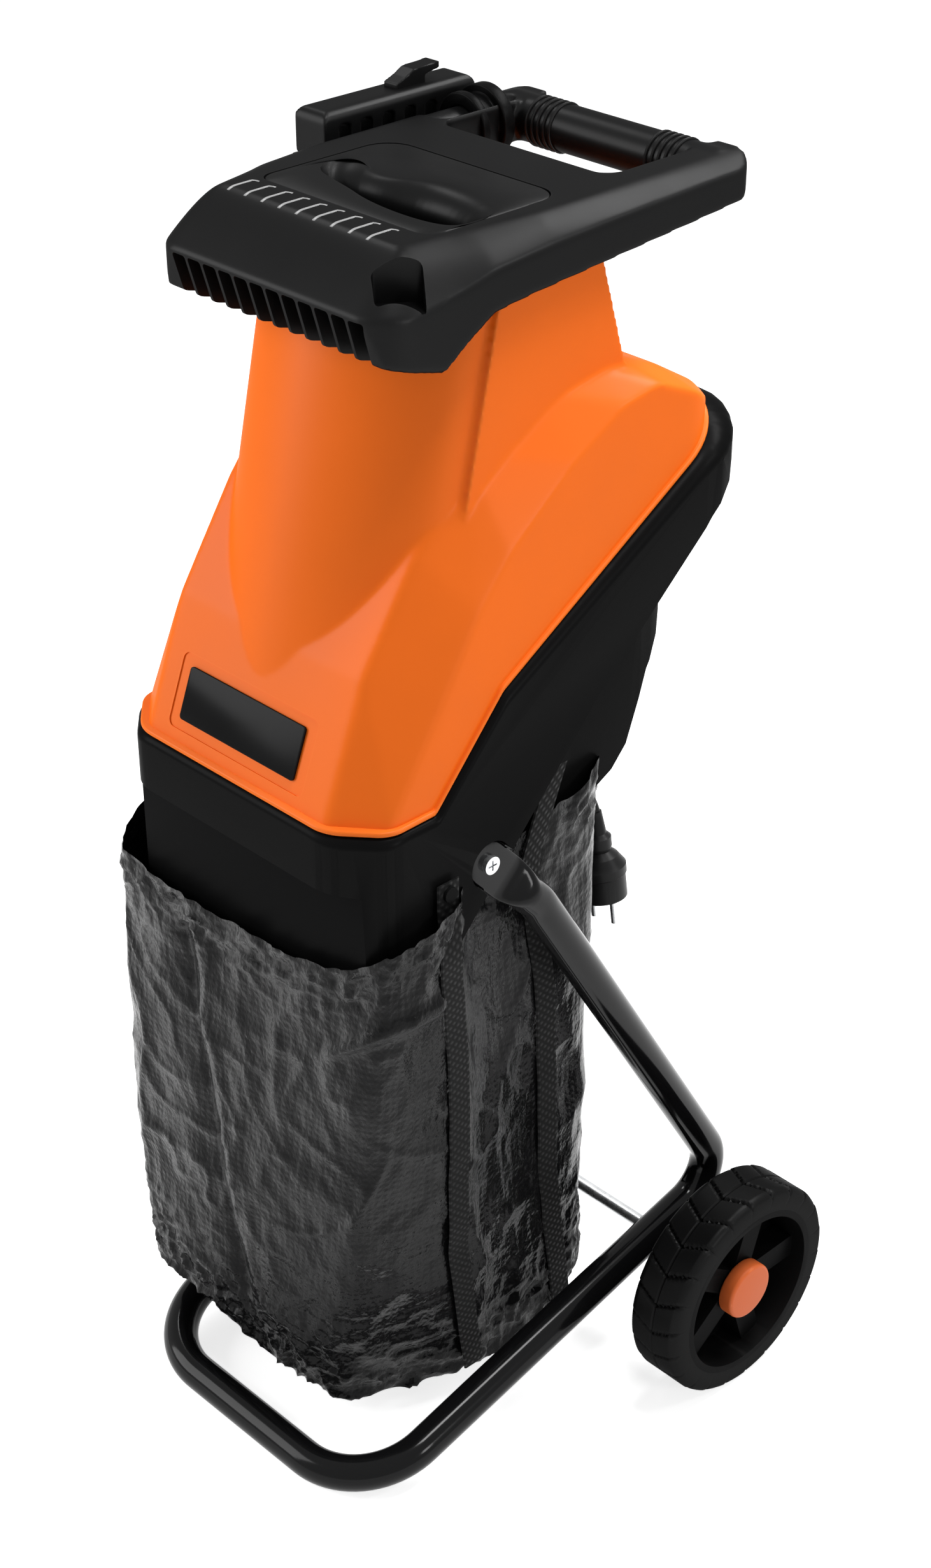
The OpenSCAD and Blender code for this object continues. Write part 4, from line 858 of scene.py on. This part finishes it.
def makeSlits(skin):
    s = slit
    verts, faces = [], []
    for i in range(s["count"]):
        x = s["x"] + (i - (s["count"] - 1) / 2) * s["pitch"]
        end = s["y"] + s["length"]
        line = [(x, y) for y in np.linspace(s["y"], end, 12)]
        line += [(x + s["hook"] * 0.5, end + 1.2), (x + s["hook"], end + 1.4)]
        for j, (px, py) in enumerate(line):
            w = skinTop(skin, px, py) + s["proud"]
            wide = s["half"] if j < 12 else s["half"] * 0.7
            side = (wide, 0) if j < 11 else (wide * 0.7, -wide * 0.7) if j == 11 else (0.2, -wide)
            for u, drop in ((-1, s["deep"]), (-1, 0), (1, 0), (1, s["deep"])):
                verts.append(headPoint(px + u * side[0], py + u * side[1], w - drop))
        n = len(line)
        first = len(verts) - 4 * n
        faces += bandFaces(n, 4, first=first)
        faces += [[first + k for k in range(4)], [first + 4 * (n - 1) + k for k in range(4)]]
    obj = roundEdges(outward(addMesh("lid_slits", verts, faces)), 0.3, 2, 40)
    # the slit strips take the pale grey painted highlight, not the lid's own colour
    finishPiece(obj, "hopper", "black_plastic", look="slit_painted_highlight")


makeSlits(lidSkin)

# Rings on the grip
gripRings = dict(count=5, first=40, pitch=5, radius=15.2, thick=1.0)


def makeGripRings():
    g = gripRings
    verts, faces = [], []
    sides, around = 40, 8
    for s in (-1, 1):
        for i in range(g["count"]):
            x = s * (g["first"] + i * g["pitch"])
            faces += bandFaces(sides, around, True, len(verts))
            for k in range(sides):
                t = 2 * math.pi * k / sides
                for j in range(around):
                    q = 2 * math.pi * j / around
                    r = g["radius"] + g["thick"] * math.sin(q)
                    y, w = lid["gripY"] + r * math.cos(t), lid["gripW"] + r * math.sin(t)
                    verts.append(headPoint(x + g["thick"] * math.cos(q), y, w))
    obj = shade(outward(addMesh("grip_rings", verts, faces)))
    finishPiece(obj, "hopper", "black_plastic", look="lid_plastic")


makeGripRings()


# Feed panel: flush plate whose slot has a crisp front edge and rolls down from an S-shaped rear lip
def splitLoop(points, count):
    pts = np.array(points)
    left, right = int(np.argmin(pts[:, 0])), int(np.argmax(pts[:, 0]))
    pts = np.roll(pts, -left, 0)
    turn = (right - left) % len(pts)
    halves = [pts[:turn + 1], np.vstack([pts[turn:], pts[:1]])]
    out = []
    for half in halves:
        run = runLength(half)
        at = np.linspace(0, run[-1], count // 2, endpoint=False)
        out.append(np.stack([np.interp(at, run, half[:, k]) for k in (0, 1)], 1))
    return np.vstack(out)


def makePanel():
    p = panel
    top = lid["height"]
    count = 240
    outer, inset = splitLoop(panelOutline(0), count), splitLoop(panelOutline(-0.8), count)
    mouth = splitLoop(smoothLoop(p["mouth"], 3), count)
    throat = splitLoop(smoothLoop(p["throat"], 2), count)
    middle = mouth.mean(0)
    rim = mouth + (mouth - middle) * (1.2 / np.linalg.norm(mouth - middle, axis=1))[:, None]
    angle = 2 * math.pi * np.arange(count) / count
    roll = np.clip(0.5 - 0.9 * np.sin(angle), 0, 1)  # 1 along the rear lip, 0 along the front edge
    rings = [[(x, y, top - down) for x, y in loop]
             for loop, down in ((outer, 2.4), (outer, 0.6), (inset, 0), (rim, 0))]
    for k in range(15):
        t = k / 14
        go = roll * math.sin(t * math.pi / 2) + (1 - roll) * t
        down = (roll * (1 - math.cos(t * math.pi / 2)) + (1 - roll) * t ** 0.8) * p["rollDeep"] + 0.02
        spots = mouth + (throat - mouth) * go[:, None]
        rings.append([(x, y, top - w) for (x, y), w in zip(spots, down)])
    rings.append([(x, y, top - p["depth"]) for x, y in throat])
    verts = [headPoint(*v) for ring in rings for v in ring]
    obj = shade(outward(addMesh("feed_panel_skin", verts, bandFaces(len(rings), count))), 50)
    finishPiece(obj, "hopper", "black_plastic", "feed_panel", look="lid_plastic")


makePanel()
print("feed panel set")

# Black mouldings that keep their solids' form, with moulded edges
plainMouldings = [
    ("lower_shell", "lower_housing", "base", 1.8), ("cover_shell", "motor_cover", "base", 4.0),
    ("holder", "pusher_holder", "hopper", 1.5), ("collar", "arm_collar", "hopper", 1.2),
    ("switch_case", "switch_box", "base", 3.0),
]


def makePlainMouldings():
    for name, node, body, width in plainMouldings:
        obj = softCopy(name, node, width)
        if node == "lower_housing":
            cut(obj, wallTop)
            shade(obj)
        finishPiece(obj, body, "black_plastic", node)
    channel = softCopy("channel", "feed_channel", 0.6)
    cut(channel, block("channelTop", (-200, -200, 204), (200, 200, 400)))
    shade(channel)
    finishPiece(channel, "hopper", "black_plastic", "feed_channel")


makePlainMouldings()
print("black mouldings rounded")

# Pusher: ribbed grip above a long blade, parked beside the lid, with a spring tab on top
pusher = dict(
    low=(-139, 21, 211.4), high=(-111, 148, 241.4), round=6, slots=6, slotY=33, pitch=18,
    slotWide=9.5, slotDeep=40, slotLow=214, slotHigh=232,
    blade=((-137.5, 24, 37), (-122.5, 145, 215)), tabX=(-131, -119),
    tab=[(88, -2), (112, -2), (112, 4.6), (124, 6.6), (124, 10.8), (103, 9.8), (96, 6), (88, 3)])


def makePusher():
    p = pusher
    (x0, y0, w0), (x1, y1, w1) = p["low"], p["high"]
    obj = prism("pusher_body", rounded(box(y0, w0, y1, w1), [4, 4, 7, 7]), x0, x1, "yw")
    cross = rounded(box(x0, w0 - 1, x1, w1), [0, 0, p["round"], p["round"]])
    share(obj, prism("cross", cross, y0 - 5, y1 + 5, "xw"))
    for i in range(p["slots"]):
        y = p["slotY"] + i * p["pitch"]
        hole = rounded(box(y, p["slotLow"], y + p["slotWide"], p["slotHigh"]), [3] * 4, 4)
        cut(obj, prism("ribGap", hole, x1 - p["slotDeep"], x1 + 5, "yw"))
    add(obj, block("blade", *p["blade"]))
    soften(obj, 1.1, 4)
    tab = prism("pusher_tab", [(y, w1 + d) for y, d in p["tab"]], *p["tabX"], "yw")
    soften(tab, 0.7, 3)
    for piece, node in ((obj, "pusher"), (tab, "pusher_hook")):
        shade(piece, 45)
        finishPiece(piece, "pusher", "black_plastic", node, look="lid_plastic")


makePusher()
print("pusher parked")

# Tube frame: one bent tube, flattened at both ends into screw tabs
tube = dict(
    half=12.5, tab=(4, 15), tabShift=-3, flatFrom=46, flatTo=24, ends=(15, 14.6, 13.5, 11.5, 8, 4),
    leg=[((-115, -61, 471), 0), ((-115, -18, 424), 60), ((-115, 182, 97.26), 30),
         ((-115, -176.5, 12.5), 58)])


def bentPath(bends, step):
    line = []
    pts = [Vector(p) for p, r in bends]
    for i, (p, r) in enumerate(bends):
        p = Vector(p)
        if r == 0:
            line.append(p)
            continue
        u, v = (pts[i - 1] - p).normalized(), (pts[i + 1] - p).normalized()
        half = u.angle(v) / 2
        mid = p + (u + v).normalized() * r / math.sin(half)
        a = p + u * r / math.tan(half) - mid
        b = p + v * r / math.tan(half) - mid
        sweep = a.angle(b)
        axis = a.cross(b).normalized()
        line += [mid + Matrix.Rotation(sweep * k / 20, 3, axis) @ a for k in range(21)]
    out = [line[0]]
    for a, b in zip(line, line[1:]):
        n = max(1, int((b - a).length / step))
        out += [a.lerp(b, k / n) for k in range(1, n + 1)]
    return out


def makeTube():
    t = tube
    otherLeg = [((-x, y, z), r) for (x, y, z), r in reversed(t["leg"])]
    path = bentPath(t["leg"] + otherLeg, 4)
    lead = (path[0] - path[1]).normalized()
    path = [path[0] + lead * k for k in t["ends"]] + path
    tail = (path[-1] - path[-2]).normalized()
    path += [path[-1] + tail * k for k in reversed(t["ends"])]
    runs = runLength(np.array(path))
    sides = 48
    verts = []
    across = Vector((1, 0, 0))
    for i, p in enumerate(path):
        along = (path[min(i + 1, len(path) - 1)] - path[max(i - 1, 0)]).normalized()
        across = (across - along * across.dot(along)).normalized()
        other = along.cross(across)
        toEnd = min(runs[i], runs[-1] - runs[i]) - t["ends"][0]  # distance from the screw
        f = min(1, max(0, (t["flatFrom"] - toEnd) / (t["flatFrom"] - t["flatTo"])))
        f = f * f * (3 - 2 * f)
        thin = t["half"] * (1 - f) + t["tab"][0] * f
        wide = t["half"] * (1 - f) + t["tab"][1] * f
        if toEnd < 0:
            wide = max(1.0, math.sqrt(max(0, t["tab"][1] ** 2 - toEnd ** 2)))
        power = 2 / (2 + 5 * f)
        side = 1 if p.x > 0 else -1
        middle = p + Vector((side * t["tabShift"] * f, 0, 0))
        for k in range(sides):
            q = 2 * math.pi * k / sides
            c, d = math.cos(q), math.sin(q)
            c = math.copysign(abs(c) ** power, c) * thin
            d = math.copysign(abs(d) ** power, d) * wide
            verts.append((middle + across * c + other * d) * mm)
    n = len(path)
    caps = [list(range(sides)), [(n - 1) * sides + k for k in range(sides)]]
    obj = shade(outward(addMesh("bent_tube", verts, bandFaces(n, sides) + caps)), 50)
    finishPiece(obj, "base", "tube_paint", "frame_tube")


makeTube()
print("tube bent")

# Wheels: deep dished rim and a stiff tyre with chevron tread
wheel = dict(
    radius=80, width=42, rim=64, axleY=109, axleZ=80, outer=207, segments=22, step=2.0, chevron=0.42)


def wheelPoint(side, along, r, t):
    x = side * (wheel["outer"] - wheel["width"] + along)
    return (x * mm, (wheel["axleY"] + r * math.cos(t)) * mm, (wheel["axleZ"] + r * math.sin(t)) * mm)


def makeTyre(side, label):
    w = wheel
    half = w["width"] / 2
    across = [(0, w["rim"]), (0, 73), (1.2, 75.5), (3, 77.2), (5, 78)]
    across += [(a, 78) for a in np.linspace(6, 36, 25)]
    across += [(37, 78), (39, 77.2), (40.8, 75.5), (42, 73), (42, w["rim"])]
    turns = w["segments"] * 16
    verts = []
    for k in range(turns):
        for a, r in across:
            phase = (k / turns * w["segments"] + w["chevron"] * (abs(a - half) / half)) % 1
            ramp = min(1, max(0, (phase - 0.02) / 0.06)) * min(1, max(0, (1 - phase) / 0.04))
            grow = w["step"] * ramp if r > 72 else 0
            saw = 0.9 * (phase - 0.5) if r > 74 else 0
            centre = -1.2 * max(0, 1 - abs(a - half) / 0.8) if r > 77 else 0
            out = min(w["radius"], r + grow + saw * 0.6 + centre)
            verts.append(wheelPoint(side, a, out, 2 * math.pi * k / turns))
    obj = addMesh("tread_" + label, verts, bandFaces(turns, len(across), True))
    finishPiece(shade(outward(obj), 35), "wheel_" + label, "wheel_plastic", "tyre_" + label)


def makeWheels():
    for side, label in ((-1, "left"), (1, "right")):
        makeTyre(side, label)
        rim = softCopy("rim_" + label, "wheel_rim_" + label, 1.6)
        finishPiece(rim, "wheel_" + label, "wheel_plastic", "wheel_rim_" + label)
        cap = softCopy("cap_" + label, "hub_cap_" + label, 1.4, 4)
        finishPiece(cap, "wheel_" + label, "orange_plastic", "hub_cap_" + label, look="cap_plastic")


makeWheels()
print("wheels turned")

# Catch bag: woven sheet hung from the tub, sagging and creased
bag = dict(
    mouth=[(99, -6), (99, 58), (66, 82), (0, 85), (-66, 82), (-99, 58), (-99, -6), (-99, -70), (-131, -95),
           (-141, -146), (-127, -159), (0, -160), (119, -159), (133, -145), (131, -95), (99, -70)],
    mid=[(90, 21), (87, 69), (57, 87), (-5, 89), (-68, 86), (-98, 60), (-98, -3), (-104, -66), (-140, -100),
         (-155, -140), (-145, -157), (-24, -158), (74, -150), (92, -128), (104, -66), (91, -38)],
    foot=[(83, 40), (76, 76), (50, 90), (-10, 91), (-70, 88), (-95, 62), (-96, 0), (-97, -62), (-136, -104),
          (-146, -135), (-138, -150), (-45, -147), (36, -136), (54, -110), (82, -42), (83, -15)],
    rim=[470, 482, 446, 443, 446, 482, 470, 447, 442, 416, 409, 413, 448, 457, 466, 458],
    hem=[32, 50, 58, 50, 45, 42, 42, 46, 56, 56, 52, 33, 22, 22, 22, 24],
    midZ=220, around=360, up=140, crease=3.0, tapeRow=60, bottomRings=8)


# The same places along each outline, with the rim's and hem's heights there
def matchedLoops(outlines, heights, count):
    loops = [smoothLoop(o, 2) for o in outlines]
    run = runLength(np.vstack([loops[1], loops[1][:1]]))
    at = np.interp(np.linspace(0, run[-1], count, endpoint=False), run, np.arange(len(run)))
    spots = []
    for loop in loops:
        ring = np.vstack([loop, loop[:1]])
        spots.append(np.stack([np.interp(at, np.arange(len(ring)), ring[:, k]) for k in (0, 1)], 1))
    levels = []
    for values in heights:
        ring = np.array(list(values) + [values[0]], float)
        levels.append(np.interp(at / (len(run) - 1) * len(values), np.arange(len(ring)), ring))
    return spots, levels


def valueNoise(seed, u, v, cellsU, cellsV):
    rng = np.random.default_rng(seed)
    grid = rng.uniform(-1, 1, (cellsU, cellsV + 2))
    x, y = (u % 1) * cellsU, np.clip(v, 0, 1) * cellsV
    i, j = np.floor(x).astype(int), np.floor(y).astype(int)
    fx, fy = x - i, y - j
    fx, fy = fx * fx * (3 - 2 * fx), fy * fy * (3 - 2 * fy)
    g = lambda a, b: grid[a % cellsU, np.minimum(b, cellsV + 1)]
    low, high = (g(i, row) * (1 - fx) + g(i + 1, row) * fx for row in (j, j + 1))
    return low * (1 - fy) + high * fy


def folded(*noise):
    return 1 - np.abs(valueNoise(*noise))


def bagShape():
    b = bag
    outlines = [b[k] for k in ("foot", "mid", "mouth")]
    (foot, mid, mouth), (rim, hem) = matchedLoops(outlines, [b["rim"], b["hem"]], b["around"])
    rows = []
    for v in np.linspace(0, 1, b["up"] + 1):
        z = hem + (rim - hem) * v
        low = np.clip((z - hem) / (b["midZ"] - hem), 0, 1)[:, None]
        high = np.clip((z - b["midZ"]) / (rim - b["midZ"]), 0, 1)[:, None]
        flat = np.where(low < 1, foot * (1 - low) + mid * low, mid * (1 - high) + mouth * high)
        rows.append(np.column_stack([flat, z]))
    return np.stack(rows)


# How far the sheet stands out or in: folds, tucks and crumples
def bagCreases(grid, u, v):
    x, y, z = grid[..., 0], grid[..., 1], grid[..., 2]
    folds = folded(3, u + 0.03 * valueNoise(5, u, v, 9, 5), v, 22, 4)
    tucks = folded(8, u + 0.05 * valueNoise(9, u, v, 7, 6), v, 34, 12)
    soft = valueNoise(11, u, v, 12, 7)
    fine = folded(13, u + 0.02 * soft, v, 70, 34)
    hang = np.sin(np.pi * np.clip(v, 0, 1)) ** 0.6
    push = bag["crease"] * (-1.1 + 0.9 * folds ** 3 + 0.55 * tucks ** 4 + 0.5 * soft + 0.16 * fine)
    push *= 0.35 + 0.65 * hang
    front = np.clip((-y - 135) / 12, 0, 1)
    line = x - (-70 + 34 * (1 - v))  # long upright crease on the front
    ends = np.clip(v / 0.15, 0, 1) * np.clip((1 - v) / 0.1, 0, 1)
    push -= 6.5 * front * np.exp(-np.abs(line) / 9) * ends
    push += 3.0 * front * np.exp(-((line - 16) / 14) ** 2) * hang
    tuck = (z - 372) - 0.75 * (x - 96)  # short tuck under the right rim
    corner = np.clip((x - 62) / 12, 0, 1) * np.clip((-y - 95) / 15, 0, 1)
    push += 4.5 * np.exp(-(tuck / 6) ** 2) * corner
    crumple = folded(21, u + 0.01 * soft, v, 64, 40) ** 2 + 0.6 * folded(22, u, v, 120, 70) ** 2
    hems = np.exp(-(v / 0.16) ** 2) + 0.8 * np.exp(-((v - 0.96) / 0.07) ** 2)
    return push + 3.4 * (crumple - 0.7) * hems


def layThread(obj, name, spot):
    layer = obj.data.uv_layers.new(name=name)
    for poly in obj.data.polygons:
        for li, vi in zip(poly.loop_indices, poly.vertices):
            layer.data[li].uv = spot(poly, vi)


# Tapes run round the bag and up it; the bottom is laid flat
def bagTapes(obj, grid, count):
    co = np.array([vtx.co for vtx in obj.data.vertices])
    row = grid[bag["tapeRow"]]
    run = runLength(np.vstack([row, row[:1]])) * mm
    wall = (bag["up"] + 1) * count

    def spot(poly, vi):
        if vi >= wall:
            return (co[vi][0], co[vi][1])
        k = vi % count
        closing = k == 0 and any(w % count == count - 1 for w in poly.vertices if w < wall)
        return (run[count if closing else k], co[vi][2])

    layThread(obj, "tapes", spot)


def makeBag():
    grid = bagShape()
    up, count, bottomRings = bag["up"], bag["around"], bag["bottomRings"]
    u = np.broadcast_to(np.arange(count) / count, (up + 1, count))
    v = np.broadcast_to((np.arange(up + 1) / up)[:, None], (up + 1, count))
    normal = np.roll(grid, -1, 1) - np.roll(grid, 1, 1)
    normal = np.stack([normal[..., 1], -normal[..., 0]], -1)
    normal /= np.linalg.norm(normal, axis=-1, keepdims=True)
    if np.sum(normal * (grid[..., :2] - grid[..., :2].mean((0, 1)))) < 0:
        normal = -normal
    grid[..., :2] += normal * bagCreases(grid, u, v)[..., None]
    frayed = 1.4 * valueNoise(31, u, v, 60, 8) + 0.8 * valueNoise(32, u, v, 120, 8)
    grid[..., 2] += frayed * np.clip((v - 0.85) / 0.15, 0, 1)
    verts = (grid.reshape(-1, 3) * mm).tolist()
    faces = bandFaces(up + 1, count)
    ring = list(range(count))
    centre = grid[0].mean(0)
    for step in range(1, bottomRings + 1):  # bottom, drawn in to its middle
        f = step / bottomRings
        first = len(verts)
        for k in range(count):
            p = grid[0, k] * (1 - f) + centre * f
            lift = 4 * (1 - f) * f * valueNoise(41, np.array(k / count), np.array(f), 30, 6) + 1.0 * f
            verts.append([p[0] * mm, p[1] * mm, (p[2] + float(lift)) * mm])
        fresh = list(range(first, first + count))
        faces += [[ring[(k + 1) % count], ring[k], fresh[k], fresh[(k + 1) % count]] for k in range(count)]
        ring = fresh
    faces.append(list(reversed(ring)))
    obj = addMesh("bag_sheet", verts, faces)
    bagTapes(obj, grid, count)
    shade(outward(obj), 60)
    finishPiece(obj, "base", "bag_weave", "bag")
    area = sum(p.area for p in obj.data.polygons)
    return obj, area, grid


bagObj, bagArea, bagGrid = makeBag()
print("bag hung, sheet area", round(bagArea, 3))

# Straps: webbing that runs up the bag's sides to the pegs
strap = dict(
    width=18, thick=1.4, foot=30, front=(-100, 470, 120), rear=(12.5, 514, 101),
    drift=dict(front=[(22, -44), (250, -76), (437, -104)], rear=[(45, 44), (267, 17), (439, -6), (470, 4)]))


def bagSide(y, z, side):
    rows = bagGrid.reshape(-1, 3)
    close = (np.abs(rows[:, 1] - y) < 4) & (np.abs(rows[:, 2] - z) < 6)
    near = rows[close & (rows[:, 0] * side > 40)]
    return None if len(near) == 0 else float(np.max(np.abs(near[:, 0])))


# The strap's middle line: up the bag's side, then onto its peg
def strapLine(side, label):
    y, pegZ, pegX = strap[label]
    line = []
    for z in np.arange(strap["foot"], pegZ - 26, 6.0):
        near = y if side < 0 else valueAt(strap["drift"][label], z)
        near += 3.0 * math.sin(z / 47 + side)
        x = bagSide(near, z, side)
        if x is not None:
            line.append((x + 1.0, near, z))
    pts = np.array(line + [(pegX + 0.8, y, pegZ - 8), (pegX + 0.8, y, pegZ + 8)])
    for _ in range(3):
        pts[1:-2] = pts[1:-2] * 0.5 + (pts[:-3] + pts[2:-1]) * 0.25
    return pts


def makeStrap(side, label, *stands):
    half, thick = strap["width"] / 2, strap["thick"]
    profile = [(0, -half, 0), (thick * 0.8, -half + 0.8, 0.02), (thick, 0, 0.5),
               (thick * 0.8, half - 0.8, 0.98), (0, half, 1)]
    pts = strapLine(side, label)
    verts, uvs = [], []
    run = 0
    for i, p in enumerate(pts):
        run += 0 if i == 0 else np.linalg.norm(p - pts[i - 1])
        for dx, dy, across in profile:
            verts.append((side * (p[0] + dx) * mm, (p[1] + dy) * mm, p[2] * mm))
            uvs.append((across * strap["width"] * mm, run * mm))
    n = len(profile)
    caps = [list(range(n)), [len(verts) - n + k for k in range(n)]]
    name = "strap_%s_%s" % (label, "left" if side < 0 else "right")
    obj = outward(addMesh(name, verts, bandFaces(len(pts), n) + caps))
    layThread(obj, "twill", lambda poly, vi: uvs[vi])
    return finishPiece(shade(obj, 50), "base", "webbing", *stands)


# The first strap stands for all four
def makeStraps():
    pieces = []
    for side in (-1, 1):
        for label in ("front", "rear"):
            pieces.append(makeStrap(side, label, *([] if pieces else ["bag_straps"])))
    return pieces


strapPieces = makeStraps()
print("straps sewn")

# Floor, lamps and white surround
studio = dict(floor=30, surround=0.27, floorLift=0.75)
lamps = [  # name, place, aim, size, power
    ("top", (0.55, 0.16, 2.5), (0, 0, 0.7), (0.45, 0.45), 19),
    ("rear", (0.2, 1.35, 2.1), (0, 0, 0.8), (1.4, 0.4), 40),
    ("rearLeft", (-1.25, 0.3, 2.2), (0, 0, 0.8), (0.4, 0.4), 7),
    ("front", (-1.7, -1.75, 1.35), (0, 0, 0.55), (1.5, 1.7), 50),
    ("side", (2.2, 0.15, 1.1), (0, 0, 0.6), (0.35, 0.45), 8),
    ("sideRear", (1.6, 1.15, 1.75), (0, 0, 0.8), (0.33, 0.33), 6),
]


# 1 for what the camera sees, straight or mirrored, 0 for the light that falls on the part
def seenRays(tree):
    path = addNode(tree, "LightPath")
    seen = path.outputs["Is Camera Ray"]
    for name in ("Is Glossy Ray", "Is Transmission Ray"):
        seen = mathNode(tree, "MAXIMUM", seen, path.outputs[name])
    return seen


def makeStudio():
    half = studio["floor"] / 2
    floor = addMesh("floor", [(x, y, 0) for x, y in centredBox(half, half)], [[0, 1, 2, 3]])
    material, tree, shader, place = newFinish("floor_pale")
    greys = [(0.3, (0.83, 0.83, 0.83)), (0.7, (0.85, 0.85, 0.85))]
    lift = addNode(tree, "Math", seenRays(tree), operation="MULTIPLY")
    lift.inputs[1].default_value = studio["floorLift"]
    wire(tree, shader, Base_Color=tones(tree, noiseAt(tree, place, 3), greys), Roughness=0.9,
         Specular_IOR_Level=0.0, Emission_Color=(1, 1, 1, 1), Emission_Strength=lift.outputs[0])
    floor.data.materials.append(material)
    world = bpy.data.worlds.new("studio")
    scene.world = world
    world.use_nodes = True
    tree = world.node_tree
    wire(tree, tree.nodes["Background"], Color=(1, 1, 1, 1),
         Strength=spread(tree, seenRays(tree), studio["surround"], 1, 0, 1))
    for name, spot, aim, size, power in lamps:
        data = bpy.data.lights.new(name, "AREA")
        data.shape = "RECTANGLE"
        data.size, data.size_y = size
        data.energy = power
        obj = putIn(name, data)
        obj.location = spot
        obj.rotation_euler = (Vector(aim) - Vector(spot)).to_track_quat("-Z", "Y").to_euler()


makeStudio()
scene.view_settings.view_transform = "Standard"
print("studio lit")
